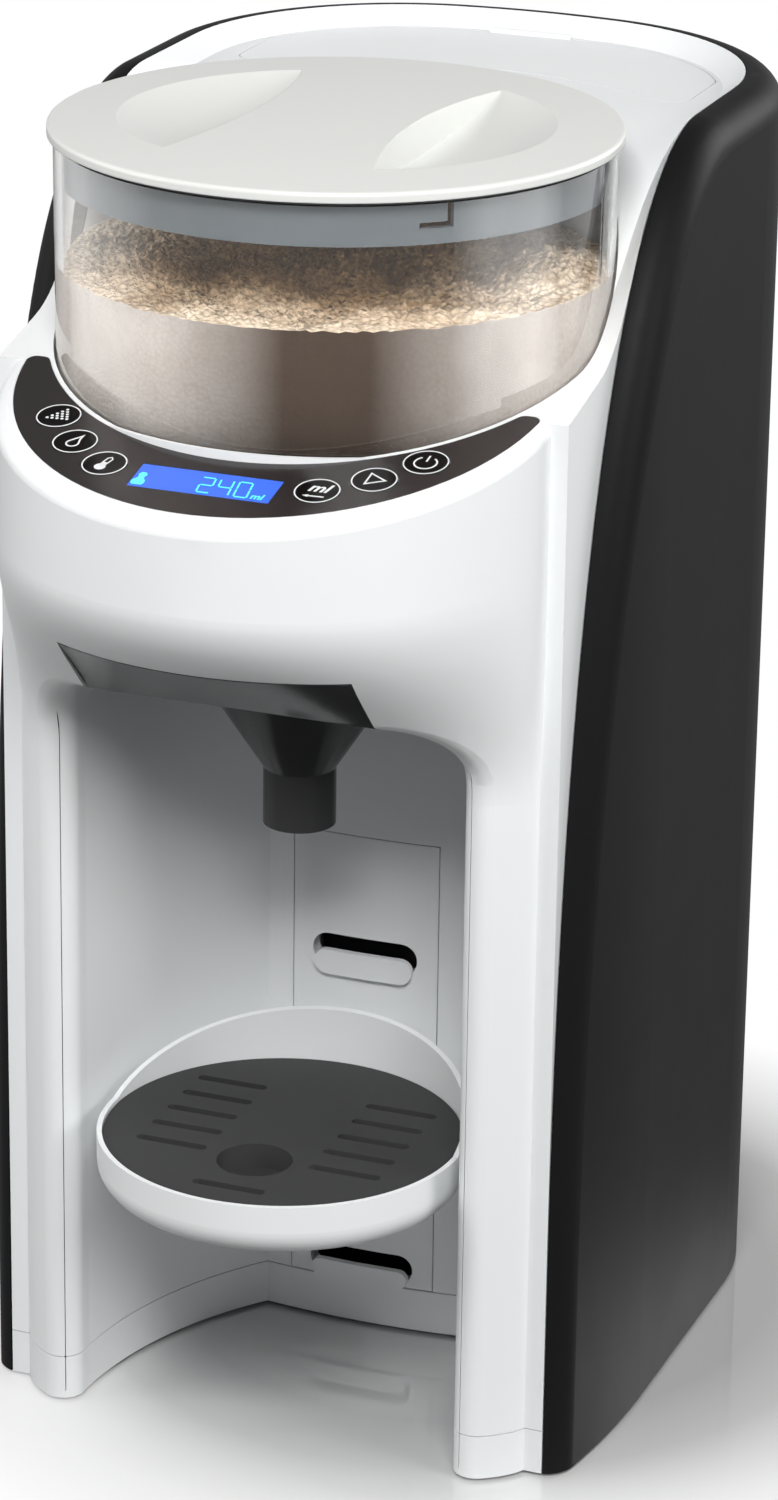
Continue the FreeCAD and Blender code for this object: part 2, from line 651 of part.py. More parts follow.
def front_housing_and_plinth():
    """The white moulding, split into the tall housing and the low plinth under it."""
    ledge = lid_plan(2 * GAP + 1, LEDGE_Z, DECK_FLOOR_Z - 1)
    body = housing_body().fuse(seat_details() + board_posts() + [ledge])
    outlets = [rod(SHAFT_R + SHAFT_CLEAR, CHUTE_Z, DECK_Z, 0, HOPPER_Y),
               rod(CHUTE_R + GAP / 2, CHUTE_Z, SEAT_Z + 1, 0, OUTLET_Y)]
    rail = box(-RAIL_HALF - GAP, RAIL_HALF + GAP, NICHE_CROWN_Y - 4, NICHE_BACK_Y + WALL + 2,
               PLINTH_TOP_Z - 1, RAIL_TOP_Z + GAP)
    bay = tank_block(BAY_GAP, LEDGE_Z - 5, DECK_Z)
    recess = lid_plan(GAP, DECK_FLOOR_Z - TANK_LID_T - GAP, DECK_Z)
    body = body.cut([funnel_opening(), bay, recess, lid_hinge(GAP / 2)] + outlets + panel_windows())
    seam = GAP / 2
    plinth = body.common(box(-WIDTH, WIDTH, -DEPTH, DEPTH, FOOT_H, PLINTH_TOP_Z - seam))
    housing = body.common(box(-WIDTH, WIDTH, -DEPTH, DEPTH, PLINTH_TOP_Z + seam, DECK_Z + 10))
    return housing.cut(rail), plinth


def rear_shell():
    outer = plan_block(0, SEAM_Y, FOOT_H, DECK_Z, SHELL_FLARE).common(behind_seam(0))
    outer = round_shell(outer)
    inner = plan_block(SHELL_WALL, SEAM_Y + SHELL_LIP, FOOT_H - 1, DECK_Z, SHELL_FLARE)
    inner = inner.common(behind_seam(SHELL_LIP))
    white = plan_block(SHELL_RIM - GAP, SEAM_Y - 10, FOOT_H - 1, DECK_Z + 10)
    gland = Part.makeCylinder(GLAND_R + GAP, 20, v(GLAND_X, DEPTH / 2 - 15, GLAND_Z), v(0, 1, 0))
    return outer.cut([inner, white, gland])


def round_shell(body):
    """Round the dark shell's outer edge along its front sweep and round the deck."""
    body = body.removeSplitter()
    side = Part.Compound(plan_block(0, SEAM_Y, 0, DECK_Z + 1, SHELL_FLARE).Faces)
    rim = Part.Compound([e.extrude(v(2 * WIDTH, 0, 0)) for e in seam_curve(0, -WIDTH)])
    edges = []
    for e in body.Edges:
        mid = edge_middle(e)
        touches = all(s.distToShape(Part.Vertex(mid))[0] < 0.02 for s in (side, rim))
        if touches and mid.z > FOOT_H + 1 and not (abs(mid.x) < 1 and mid.y < 0):
            edges.append(e)
    return body.makeFillet(SHELL_ROUND, edges)


# ---------------------------------------------------------------- niche insert, base and inner frame
def niche_layer(inner, outer, half, z0, z1):
    """A strip of the niche's back wall, between two offsets of the niche's outline."""
    layer = niche(outer).cut(niche(inner))
    return layer.common(box(-half, half, NICHE_CROWN_Y - 2 * WALL, NICHE_BACK_Y + 4 * WALL, z0, z1))


def slot_span(index):
    """Lower and upper edge of one of the rail's slots."""
    middle = RAIL_SLOT_Z + RAIL_PITCH * index
    return middle - RAIL_SLOT_H / 2, middle + RAIL_SLOT_H / 2


def round_ended(half, z0, z1):
    """A bar with round ends, seen from the front, that runs through the whole depth."""
    r = (z1 - z0) / 2
    end = Part.makeCylinder(r, 2 * DEPTH, v(half - r, -DEPTH, z0 + r), v(0, 1, 0))
    return fuse(box(r - half, half - r, -DEPTH, DEPTH, z0, z1), end, mirrored(end))


def tray_rail_plate():
    """Insert in the niche's back wall, with four slots and a rounded tongue in front of each."""
    z0 = PLINTH_TOP_Z + GAP
    back = WALL + GAP + RAIL_T
    plate = niche_layer(0, back, RAIL_HALF, z0, RAIL_TOP_Z)
    flange = niche_layer(WALL + GAP, back, RAIL_HALF + 4, z0, RAIL_TOP_Z + 4)
    slots, tongues = [], []
    for i in range(RAIL_SLOTS):
        low, high = slot_span(i)
        slots.append(round_ended(RAIL_SLOT_HALF, max(low, z0 + 1), high))
        foot = max(low - 2, z0)
        tongue = niche_layer(-TONGUE_T, 0, TONGUE_HALF, foot, low + TONGUE_H)
        tongues.append(tongue.common(round_ended(TONGUE_HALF, foot, low + TONGUE_H)))
    return plate.fuse(flange).cut(slots).fuse(tongues)


def base_plate():
    front = SEAM_Y + LAP + 4
    plate = plan_block(SHELL_WALL + GAP, front, FOOT_H, BASE_TOP_Z, SHELL_FLARE)
    return plate.cut(niche(WALL + GAP))


def rubber_feet():
    front_y = SEAM_Y + 10 * GAP
    pads = [rod(FOOT_R, 0, FOOT_H, FOOT_BACK_X, FOOT_BACK_Y),
            rod(FOOT_FRONT_R, 0, FOOT_H, FOOT_X, front_y),
            rod(FOOT_FRONT_R, 0, FOOT_H, FOOT_X, front_y + FOOT_PITCH)]
    return Part.Compound(pads + [mirrored(p) for p in pads])


def inner_chassis():
    """Upright frame that carries the water parts, with the shelf that the tank stands on."""
    y1 = CHASSIS_Y + CHASSIS_T
    wall = box(-CHASSIS_HALF, CHASSIS_HALF, CHASSIS_Y, y1, BASE_TOP_Z, CHASSIS_TOP_Z)
    flange = box(CHASSIS_HALF - CHASSIS_T, CHASSIS_HALF, CHASSIS_Y - 8, y1, BASE_TOP_Z, CHASSIS_TOP_Z)
    shelf = plan_block(SHELL_WALL + GAP, 0, TANK_SHELF_Z - SHELF_T, TANK_SHELF_Z)
    shelf = shelf.common(box(-CHASSIS_HALF, CHASSIS_HALF, CHASSIS_Y, DEPTH, 0, TANK_SHELF_Z))
    frame = fuse(wall, flange, mirrored(flange), shelf)
    drain = rod(TUBE_R, 0, TANK_SHELF_Z + 1, 0, VALVE_Y)
    passage = Part.makeCylinder(TUBE_R + GAP, 20, v(0, CHASSIS_Y - 10, outlet_z()), v(0, 1, 0))
    return frame.cut([drain, passage])


def outlet_z():
    """Height of the tube that leads from the tank's shelf to the pump."""
    return TANK_SHELF_Z - SHELF_T - 14


def cord_gland():
    """The bushing that the mains cord leaves by, flush with the back of the dark shell."""
    back, along = DEPTH / 2, v(0, 1, 0)
    inner_face = back - SHELL_WALL - 0.4
    body = Part.makeCylinder(GLAND_R, 10, v(GLAND_X, back - 10.2, GLAND_Z), along)
    flange = Part.makeCylinder(GLAND_R + 2.5, 2.5, v(GLAND_X, inner_face - 2.5, GLAND_Z), along)
    bore = Part.makeCylinder(GLAND_BORE_R, 20, v(GLAND_X, back - 15, GLAND_Z), along)
    return body.fuse(flange).cut(bore)


# ---------------------------------------------------------------- controls
def control_panel():
    moon = crescent(PANEL_R, SEAT_RIM_R + GAP / 2, PANEL_END_Y, PANEL_TIP_R)
    plate = moon.common(slab_below_top(0, PANEL_T))
    holes = [panel_rod(BUTTON_R + GAP, c, -2 * PANEL_T, PANEL_T) for c in button_centres()]
    return plate.cut([display_block(GAP / 2, -2 * PANEL_T, PANEL_T)] + holes)


def display_window():
    return display_block(0, -PANEL_T, 0)


def display_module():
    return display_block(-DISPLAY_LEDGE - GAP, -BOARD_DROP, -PANEL_T - GAP / 2)


def control_board():
    """Circuit board under the panel, with a switch below each button."""
    plan_shape = crescent(BOARD_R, SEAT_R + WALL + GAP, BOARD_END_Y, 2.0)
    board = plan_shape.common(slab_below_top(BOARD_DROP, BOARD_T))
    switches = [panel_rod(SWITCH_HALF, c, -BOARD_DROP - 0.2, SWITCH_H - BOARD_DROP) for c in button_centres()]
    return board.fuse(switches)


def button(centre):
    cap = panel_rod(BUTTON_R, centre, -BUTTON_T, 0)
    stem = panel_rod(STEM_R, centre, SWITCH_H + BUTTON_TRAVEL + GAP - BOARD_DROP, -BUTTON_T)
    return cap.fuse(stem)


# ---------------------------------------------------------------- powder path
def hexagon(r, z0, z1):
    corners = [v(r * math.cos(math.pi * k / 3), HOPPER_Y + r * math.sin(math.pi * k / 3), z0) for k in range(7)]
    return Part.Face(Part.makePolygon(corners)).extrude(v(0, 0, z1 - z0))


def gear(teeth, phase, y):
    """Toothed wheel with straight flanks; phase turns it so that a pair meshes."""
    pitch_r = MODULE * teeth / 2
    half = TOOTH_SHARE * math.pi / teeth
    lean = math.tan(math.radians(20)) / pitch_r
    tip_r, root_r = pitch_r + ADDENDUM * MODULE, pitch_r - DEDENDUM * MODULE
    tip, root = half - ADDENDUM * MODULE * lean, half + DEDENDUM * MODULE * lean
    points = []
    for k in range(teeth):
        middle = 2 * math.pi * k / teeth + math.radians(phase)
        for r, a in ((root_r, middle - root), (tip_r, middle - tip), (tip_r, middle + tip), (root_r, middle + root)):
            points.append(v(r * math.cos(a), y + r * math.sin(a), GEAR_Z))
    return Part.Face(Part.makePolygon(points + points[:1])).extrude(v(0, 0, GEAR_T))


def drive_gear():
    """Large gear under the seat, whose shaft runs in the seat's bearing and turns the dosing wheel."""
    wheel = gear(GEAR_TEETH, 0, HOPPER_Y)
    ring_r = MODULE * GEAR_TEETH * 0.3
    holes = [spun(rod(4.5, GEAR_Z - 1, GEAR_Z + GEAR_T + 1, ring_r, HOPPER_Y), 60 * k, 0, HOPPER_Y) for k in range(6)]
    shaft = rod(SHAFT_R, GEAR_Z - 3, SEAT_Z, 0, HOPPER_Y)
    head = hexagon(HEX_R, SEAT_Z, SEAT_Z + HEX_H)
    return wheel.cut(holes).fuse([shaft, head])


def motor_pinion():
    wheel = gear(PINION_TEETH, 180 / PINION_TEETH, PINION_Y)
    return wheel.fuse(rod(MOTOR_SHAFT_R, GEAR_Z - 14, GEAR_Z + GEAR_T, 0, PINION_Y))


def gear_motor():
    """Motor on a plate that hangs from two pillars under the seat."""
    top = GEAR_Z - 2
    low = top - MOTOR_PLATE_T
    reach = PILLAR_X + PILLAR_R + 1
    can = rod(MOTOR_R, low - MOTOR_H, low, 0, PINION_Y)
    cap = rod(MOTOR_R * 0.5, low - MOTOR_H - 2, low - MOTOR_H, 0, PINION_Y)
    plate = rounded_box(-reach, reach, PINION_Y - MOTOR_R + 2, PINION_Y + MOTOR_R - 2, low, top, 4)
    pillar = rod(PILLAR_R, top, SEAT_Z - WALL, PILLAR_X, PINION_Y)
    bore = rod(MOTOR_SHAFT_R + SHAFT_CLEAR, GEAR_Z - 15, top + 1, 0, PINION_Y)
    return fuse(can, cap, plate, pillar, mirrored(pillar)).cut(bore)


def powder_chute():
    tube = rod(CHUTE_R, CHUTE_Z, SEAT_Z, 0, OUTLET_Y)
    flange = rod(CHUTE_R + 3, SEAT_Z - WALL - 2, SEAT_Z - WALL, 0, OUTLET_Y)
    return tube.fuse(flange).cut(rod(CHUTE_R - CHUTE_WALL, CHUTE_Z - 1, SEAT_Z + 1, 0, OUTLET_Y))


def powder_container():
    """Clear hopper: slightly tapered wall, flat floor with the wheel's bearing and the outlet."""
    rise = (HOPPER_R - HOPPER_BASE_R) / (HOPPER_TOP_Z - CUP_Z)
    floor_r = HOPPER_BASE_R - HOPPER_WALL + rise * FLOOR_T
    outer = cone(HOPPER_BASE_R, HOPPER_R, CUP_Z, HOPPER_TOP_Z, 0, HOPPER_Y)
    inner = cone(floor_r, HOPPER_R - HOPPER_WALL, CUP_FLOOR_Z, HOPPER_TOP_Z, 0, HOPPER_Y)
    bearing = rod(JOURNAL_R + SHAFT_CLEAR, CUP_Z - 1, CUP_FLOOR_Z + 1, 0, HOPPER_Y)
    outlet = rod(POCKET_R, CUP_Z - 1, CUP_FLOOR_Z + 1, 0, OUTLET_Y)
    return outer.cut([inner, bearing, outlet])


def sector(r0, r1, z0, z1, half_angle):
    """Ring sector about the hopper's axis, centred on the front."""
    ring = rod(r1, z0, z1, 0, HOPPER_Y).cut(rod(r0, z0 - 1, z1 + 1, 0, HOPPER_Y))
    far = 2 * r1
    side = far * math.tan(math.radians(half_angle))
    tip = v(0, HOPPER_Y, z0)
    wedge = Part.makePolygon([tip, v(-side, HOPPER_Y - far, z0), v(side, HOPPER_Y - far, z0), tip])
    return ring.common(Part.Face(wedge).extrude(v(0, 0, z1 - z0)))


def scraper_top():
    return WHEEL_Z + WHEEL_T + GAP + SCRAPER_T


def scraper_plate():
    """Covers the pocket over the outlet, so that only what the pocket holds falls through."""
    cover = sector(HUB_R + 8, SCRAPER_R, scraper_top() - SCRAPER_T, scraper_top(), SCRAPER_HALF_ANGLE)
    foot = sector(WHEEL_R + 2, SCRAPER_R, CUP_FLOOR_Z, scraper_top(), SCRAPER_HALF_ANGLE)
    return cover.fuse(foot)


def dosing_wheel():
    """Ring of pockets that carry measured powder to the outlet."""
    top = scraper_top() + GAP
    disc = rod(WHEEL_R, WHEEL_Z, WHEEL_Z + WHEEL_T, 0, HOPPER_Y)
    hub = rod(HUB_R, WHEEL_Z, top, 0, HOPPER_Y)
    journal = rod(JOURNAL_R, CUP_Z, WHEEL_Z, 0, HOPPER_Y)
    pocket = rod(POCKET_R, WHEEL_Z - 1, WHEEL_Z + WHEEL_T + 1, 0, OUTLET_Y)
    pockets = [spun(pocket, 360.0 * k / POCKETS, 0, HOPPER_Y) for k in range(POCKETS)]
    socket = hexagon(HEX_R + HEX_GAP, CUP_Z - 1, SEAT_Z + HEX_H + GAP)
    return disc.fuse([hub, journal]).cut(pockets + [socket])


def stirrer():
    """Three arms with upright blades that keep the powder loose."""
    z0 = scraper_top() + GAP
    hub = rod(HUB_R, z0, z0 + 7, 0, HOPPER_Y)
    half = STIRRER_T / 2
    arm = box(HUB_R - 2, STIRRER_REACH, HOPPER_Y - half, HOPPER_Y + half, z0, z0 + STIRRER_T)
    blade = box(STIRRER_REACH - 8, STIRRER_REACH, HOPPER_Y - half, HOPPER_Y + half, z0, z0 + STIRRER_H)
    arms = [spun(arm.fuse(blade), 30 + 360.0 * k / STIRRER_ARMS, 0, HOPPER_Y) for k in range(STIRRER_ARMS)]
    return fuse(hub, *arms)


# ---------------------------------------------------------------- hopper lid
def lid_gasket():
    z0 = HOPPER_TOP_Z + GAP
    ring = rod(HOPPER_R - GAP, z0, z0 + GASKET_T, 0, HOPPER_Y)
    return ring.cut(rod(HOPPER_R - HOPPER_WALL + GAP, z0 - 1, z0 + GASKET_T + 1, 0, HOPPER_Y))


def lid_recess(side, grow):
    """One finger recess: a round bowl that ends at the curved side of the grip bar."""
    x, low, high = side * RECESS_SHIFT, LID_Z - 20, LID_TOP_Z + 20
    ball_z = LID_TOP_Z + LID_CROWN / 2 - RECESS_DEPTH + RECESS_BOWL_R
    bowl = Part.makeSphere(RECESS_BOWL_R + grow, v(x, HOPPER_Y, ball_z))
    disc = rod(RECESS_ARC_R + grow, low, high, x, HOPPER_Y)
    beside_grip = rod(GRIP_R + grow, low, high, side * (GRIP_HALF + GRIP_R), HOPPER_Y)
    return bowl.common(disc).common(beside_grip)


def lid_cap():
    """White lid: low crown, rounded rim and two bowls that leave a grip bar."""
    crown_r = (LID_R ** 2 + LID_CROWN ** 2) / (2 * LID_CROWN)
    crown = Part.makeSphere(crown_r, v(0, HOPPER_Y, LID_TOP_Z + LID_CROWN - crown_r))
    cap = rod(LID_R, LID_Z, LID_TOP_Z + LID_CROWN + 1, 0, HOPPER_Y).common(crown)
    rim = [e for e in cap.Edges if abs(e.BoundBox.ZMax - LID_TOP_Z) < 0.01 and e.BoundBox.XLength > LID_R]
    cap = cap.makeFillet(1.0, rim)
    below = box(-LID_R, LID_R, HOPPER_Y - LID_R, HOPPER_Y + LID_R, LID_Z - 20, LID_Z + 0.5)
    shells = [lid_recess(s, RECESS_WALL).common(below) for s in (-1, 1)]
    return cap.fuse(shells).cut([lid_recess(s, 0) for s in (-1, 1)])


def lid_skirt():
    """Frosted ring under the lid, with L-shaped bayonet slots."""
    z0, z1 = LID_Z - SKIRT_H, LID_Z
    ring = rod(SKIRT_R, z0, z1, 0, HOPPER_Y).cut(rod(SKIRT_R - SKIRT_T, z0 - 1, z1 + 1, 0, HOPPER_Y))
    near, far, half, y = SKIRT_R - 10, SKIRT_R + 10, BAYONET_W / 2, HOPPER_Y
    foot = box(near, far, y - half, y + half, z1 - BAYONET_H, z1 - BAYONET_H + BAYONET_SLOT)
    leg = box(near, far, y + half - BAYONET_SLOT, y + half, z1 - BAYONET_H, z1)
    slot = foot.fuse(leg)
    slots = [spun(slot, BAYONET_ANGLE + 360.0 * k / BAYONETS, 0, HOPPER_Y) for k in range(BAYONETS)]
    return ring.cut(slots)


# ---------------------------------------------------------------- mixing funnel and bottle tray
def funnel_face():
    """Front plate of the mixing funnel's drawer: curved with the head above, straight below."""
    half, z0, z1 = FUNNEL_PLATE_HALF, NICHE_TOP_Z, FUNNEL_PLATE_TOP_Z
    y0 = FUNNEL_PLATE_FOOT_Y
    side_y = CY - bulge(z1) * math.sqrt(1 - (half / HEAD_HALF) ** 2)
    nose_y = CY - bulge(z1)
    low = [v(-half, y0, z0), v(half, y0, z0), v(half, y0 + WALL, z0), v(-half, y0 + WALL, z0)]
    high = [v(-half, side_y, z1), v(half, side_y, z1), v(half, side_y + WALL, z1), v(-half, side_y + WALL, z1)]
    bottom = Part.Wire([line(low[0], low[1]), line(low[1], low[2]), line(low[2], low[3]), line(low[3], low[0])])
    front = arc(high[0], v(0, nose_y, z1), high[1])
    back = arc(high[2], v(0, nose_y + WALL, z1), high[3])
    top = Part.Wire([front, line(high[1], high[2]), back, line(high[3], high[0])])
    return Part.makeLoft([bottom, top], True, True)


def funnel_drawer():
    """Smoked drawer that slides out of the head with the mixing funnel in it."""
    half, t, y = FUNNEL_PLATE_HALF, FUNNEL_WALL, DISPENSE_Y
    z0 = NICHE_TOP_Z
    plate = box(-half, half, FUNNEL_PLATE_FOOT_Y + WALL / 2, FUNNEL_BACK_Y, z0, z0 + WALL)
    side = box(half - t, half, FUNNEL_PLATE_FOOT_Y + WALL, FUNNEL_BACK_Y, z0, z0 + 11)
    outside = [rod(FUNNEL_R, FUNNEL_CONE_Z, FUNNEL_RIM_Z, 0, y),
               cone(NOZZLE_R, FUNNEL_R, NOZZLE_TOP_Z, FUNNEL_CONE_Z, 0, y), rod(NOZZLE_R, NOZZLE_Z, NOZZLE_TOP_Z, 0, y)]
    inside = [rod(FUNNEL_R - t, FUNNEL_CONE_Z, FUNNEL_RIM_Z + 1, 0, y),
              cone(NOZZLE_R - t, FUNNEL_R - t, NOZZLE_TOP_Z, FUNNEL_CONE_Z, 0, y),
              rod(NOZZLE_R - t, NOZZLE_Z - 1, NOZZLE_TOP_Z, 0, y)]
    return fuse(funnel_face(), plate, side, mirrored(side), *outside).cut(inside)


def tray_cup():
    """Round bottle tray with a raised collar at the back and the tab that hooks into the rail."""
    z0, inner_r, y = TRAY_TOP_Z - TRAY_H, TRAY_R - TRAY_WALL, TRAY_Y
    cup = rod(TRAY_R, z0, TRAY_TOP_Z, 0, y)
    cup = cup.makeFillet(TRAY_EDGE_R, [e for e in cup.Edges if abs(e.BoundBox.ZMax - z0) < 0.01])
    well = rod(inner_r, z0 + TRAY_FLOOR, TRAY_TOP_Z + 1, 0, y)
    well = well.makeFillet(TRAY_EDGE_R - TRAY_WALL, [e for e in well.Edges if e.BoundBox.ZMax < z0 + TRAY_FLOOR + 0.01])
    ledge_z = TRAY_TOP_Z - GRILLE_DROP - GRILLE_T - GAP
    ledge = rod(inner_r + 0.2, ledge_z - 2, ledge_z, 0, y).cut(rod(inner_r - GRILLE_LEDGE, z0, TRAY_TOP_Z, 0, y))
    ring = rod(TRAY_R, TRAY_TOP_Z - 0.1, TRAY_TOP_Z + TRAY_SHIELD_H, 0, y)
    ring = ring.cut(rod(inner_r, z0, TRAY_TOP_Z + TRAY_SHIELD_H + 1, 0, y))
    back_y = y + TRAY_R
    rise = [v(-TRAY_R, y, TRAY_TOP_Z - 0.1), v(-TRAY_R, back_y, TRAY_TOP_Z - 0.1)]
    rise += [v(-TRAY_R, back_y, TRAY_TOP_Z + TRAY_SHIELD_H)]
    collar = ring.common(Part.Face(Part.makePolygon(rise + rise[:1])).extrude(v(2 * TRAY_R, 0, 0)))
    hook_z = slot_span(TRAY_SLOT_INDEX)[0] + TONGUE_H + GAP
    hook = box(-HOOK_HALF, HOOK_HALF, back_y - 2, NICHE_BACK_Y + WALL, hook_z, hook_z + HOOK_T)
    hook = hook.cut(rod(inner_r, hook_z - 1, hook_z + HOOK_T + 1, 0, y))
    return cup.cut(well).fuse([ledge, collar, hook])


def tray_grille():
    """Black grille with a finger cup and rows of drain slots."""
    top = TRAY_TOP_Z - GRILLE_DROP
    low, w = top - GRILLE_T, SLOT_W / 2
    disc = rod(TRAY_R - TRAY_WALL - GAP, low, top, 0, TRAY_Y)
    hole_y = TRAY_Y + HOLE_OFFSET
    cup = rod(HOLE_R + 1.4, top - HOLE_DEPTH - 1.4, low + 1, 0, hole_y)
    cuts = [rod(HOLE_R, top - HOLE_DEPTH, top + 1, 0, hole_y)]
    for i in range(SLOT_ROWS):
        y = TRAY_Y + SLOT_FIRST + SLOT_PITCH * i
        slot = rounded_box(SLOT_INNER_X, SLOT_INNER_X + SLOT_LEN, y - w, y + w, low - 1, top + 1, w * 0.98)
        cuts += [slot, mirrored(slot)]
    y = TRAY_Y + FRONT_SLOT
    cuts.append(rounded_box(-SLOT_LEN / 2, SLOT_LEN / 2, y - w, y + w, low - 1, top + 1, w * 0.98))
    return disc.fuse(cup).cut(cuts)


# ---------------------------------------------------------------- water parts
def tank_floor_z():
    return TANK_SHELF_Z + GAP


def water_tank():
    z0, z1 = tank_floor_z(), DECK_FLOOR_Z - TANK_LID_T - GAP
    tank = tank_block(0, z0, z1).cut(tank_block(-TANK_WALL, z0 + TANK_WALL, z1 + 1))
    return tank.cut(rod(VALVE_STEM_R + SHAFT_CLEAR, z0 - 1, z0 + TANK_WALL + 1, 0, VALVE_Y))


def lid_hinge(grow):
    """The round knuckle along the back edge of the tank's lid."""
    half = HINGE_HALF + grow
    return Part.makeCylinder(HINGE_R + grow, 2 * half, v(-half, HINGE_Y, DECK_FLOOR_Z), v(1, 0, 0))


def tank_lid():
    return lid_plan(0, DECK_FLOOR_Z - TANK_LID_T, DECK_FLOOR_Z).fuse(lid_hinge(0))


def tank_valve():
    """Check valve in the tank's floor: a disc that lifts off its seat."""
    seat = tank_floor_z() + TANK_WALL + GAP
    return rod(VALVE_R, seat, seat + VALVE_T, 0, VALVE_Y).fuse(rod(VALVE_STEM_R, tank_floor_z(), seat, 0, VALVE_Y))


def tube(points, r, bend):
    """Round tube along straight runs joined by tangent bends."""
    edges, start = [], points[0]
    for before, corner, after in zip(points, points[1:], points[2:]):
        back, on = (before - corner).normalize(), (after - corner).normalize()
        half = back.getAngle(on) / 2
        reach = bend / math.tan(half)
        a, b = corner + back * reach, corner + on * reach
        middle = corner + (back + on).normalize() * (bend / math.sin(half) - bend)
        edges += [line(start, a), arc(a, middle, b)]
        start = b
    edges.append(line(start, points[-1]))
    ring = Part.Wire(Part.makeCircle(r, points[0], points[1] - points[0]))
    return Part.Wire(edges).makePipeShell([ring], True, False)


def pump_y():
    return CHASSIS_Y - PUMP_R - 1


def water_pump():
    body = rod(PUMP_R, BASE_TOP_Z, BASE_TOP_Z + PUMP_H, PUMP_X, pump_y())
    head = rod(PUMP_R * 0.6, BASE_TOP_Z + PUMP_H, BASE_TOP_Z + PUMP_H + 8, PUMP_X, pump_y())
    port = box(PUMP_X + PUMP_R - 4, PUMP_X + PUMP_R + 4, pump_y() - 5, pump_y() + 5, outlet_z() - 5, outlet_z() + 5)
    return fuse(body, head, port)


def heater_block():
    x0, x1 = HEATER_X - HEATER_HALF, HEATER_X + HEATER_HALF
    return rounded_box(x0, x1, CHASSIS_Y - HEATER_D, CHASSIS_Y, HEATER_Z, HEATER_Z + HEATER_H, 5)


def water_tubes():
    z, top = outlet_z(), BASE_TOP_Z + PUMP_H + 8
    y, x = pump_y(), HEATER_X + 6
    nozzle_end = v(NOZZLE_X - WATER_NOZZLE_R, DISPENSE_Y, WATER_Z)
    feed = [v(0, VALVE_Y, TANK_SHELF_Z - SHELF_T), v(0, VALVE_Y, z), v(0, y, z), v(PUMP_X + PUMP_R + 4, y, z)]
    lift = [v(PUMP_X, y, top), v(PUMP_X, y, HEATER_Z)]
    out = [v(x, y, HEATER_Z + HEATER_H), v(x, y, WATER_Z), v(x, DISPENSE_Y, WATER_Z), nozzle_end]
    straight = Part.makeCylinder(TUBE_R, lift[1].z - lift[0].z, lift[0])
    return Part.Compound([tube(feed, TUBE_R, 8), straight, tube(out, TUBE_R, 3.9)])


def water_nozzle():
    r, x, y = WATER_NOZZLE_R, NOZZLE_X, DISPENSE_Y
    block = box(x - r, x + r, y - r, y + r, WATER_Z - r, WATER_Z + r)
    return block.fuse(rod(2.5, CHUTE_Z, WATER_Z - r, x, y))


def power_board():
    """Mains circuit board on the inner frame, with its transformer, relay and two capacitors."""
    face = CHASSIS_Y - POWER_BOARD_T
    x0, x1, z0, z1 = POWER_X, POWER_X + POWER_W, POWER_Z, POWER_Z + POWER_H
    board = box(x0, x1, face, CHASSIS_Y, z0, z1)
    transformer = box(x0 + CAN_R, x1 - 3 * CAN_R, face - POWER_PART_D, face, z0 + CAN_R, z0 + 6 * CAN_R)
    relay = box(x1 - 2 * CAN_R, x1 - CAN_R, face - POWER_PART_D / 2, face, z1 - 8 * CAN_R, z1 - 3 * CAN_R)
    row = v(x0 + 2 * CAN_R, face, z1 - 6 * CAN_R)
    cans = [Part.makeCylinder(CAN_R, 0.8 * POWER_PART_D, row + v(2.6 * CAN_R * k, 0, 0), v(0, -1, 0)) for k in range(2)]
    return fuse(board, transformer, relay, *cans)


# ---------------------------------------------------------------- every node
BUTTONS = ("button_powder", "button_drop", "button_temp", "button_volume", "button_start", "button_power")

housing, plinth = front_housing_and_plinth()
save("front_housing", housing)
save("base_plinth", plinth)
for maker in (rear_shell, tray_rail_plate, base_plate, rubber_feet, inner_chassis, cord_gland, control_panel,
              display_window, display_module, control_board, drive_gear, motor_pinion, gear_motor, powder_chute,
              powder_container, scraper_plate, dosing_wheel, stirrer, lid_gasket, lid_cap, lid_skirt,
              funnel_drawer, tray_cup, tray_grille, water_tank, tank_lid, tank_valve, water_pump, heater_block,
              water_tubes, water_nozzle, power_board):
    save(maker.__name__, maker())
for name, centre in zip(BUTTONS, button_centres()):
    save(name, button(centre))
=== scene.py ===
"""Looks of a countertop baby formula maker: finishes, powder, display, icons and studio."""

import logging
import math
from dataclasses import dataclass, field
from enum import Enum
from typing import Dict, Sequence, Tuple

import bmesh
import bpy
from mathutils import Matrix, Vector, noise


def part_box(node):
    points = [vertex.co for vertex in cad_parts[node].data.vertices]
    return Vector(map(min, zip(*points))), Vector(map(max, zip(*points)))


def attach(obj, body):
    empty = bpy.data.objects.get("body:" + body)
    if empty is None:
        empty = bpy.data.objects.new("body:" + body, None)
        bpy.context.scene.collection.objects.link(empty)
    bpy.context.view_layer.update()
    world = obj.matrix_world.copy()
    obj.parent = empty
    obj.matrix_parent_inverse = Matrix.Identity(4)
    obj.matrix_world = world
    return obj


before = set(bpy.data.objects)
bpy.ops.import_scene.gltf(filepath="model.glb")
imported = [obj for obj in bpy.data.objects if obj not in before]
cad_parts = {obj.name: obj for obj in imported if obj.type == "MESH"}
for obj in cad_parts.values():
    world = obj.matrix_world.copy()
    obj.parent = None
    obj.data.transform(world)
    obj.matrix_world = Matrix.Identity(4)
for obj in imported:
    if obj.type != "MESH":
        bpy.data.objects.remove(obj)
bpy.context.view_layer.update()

LOG = logging.getLogger("formula_maker")
MM = 0.001
RGB = Tuple[float, float, float]
Point2 = Tuple[float, float]
Span = Tuple[float, float]
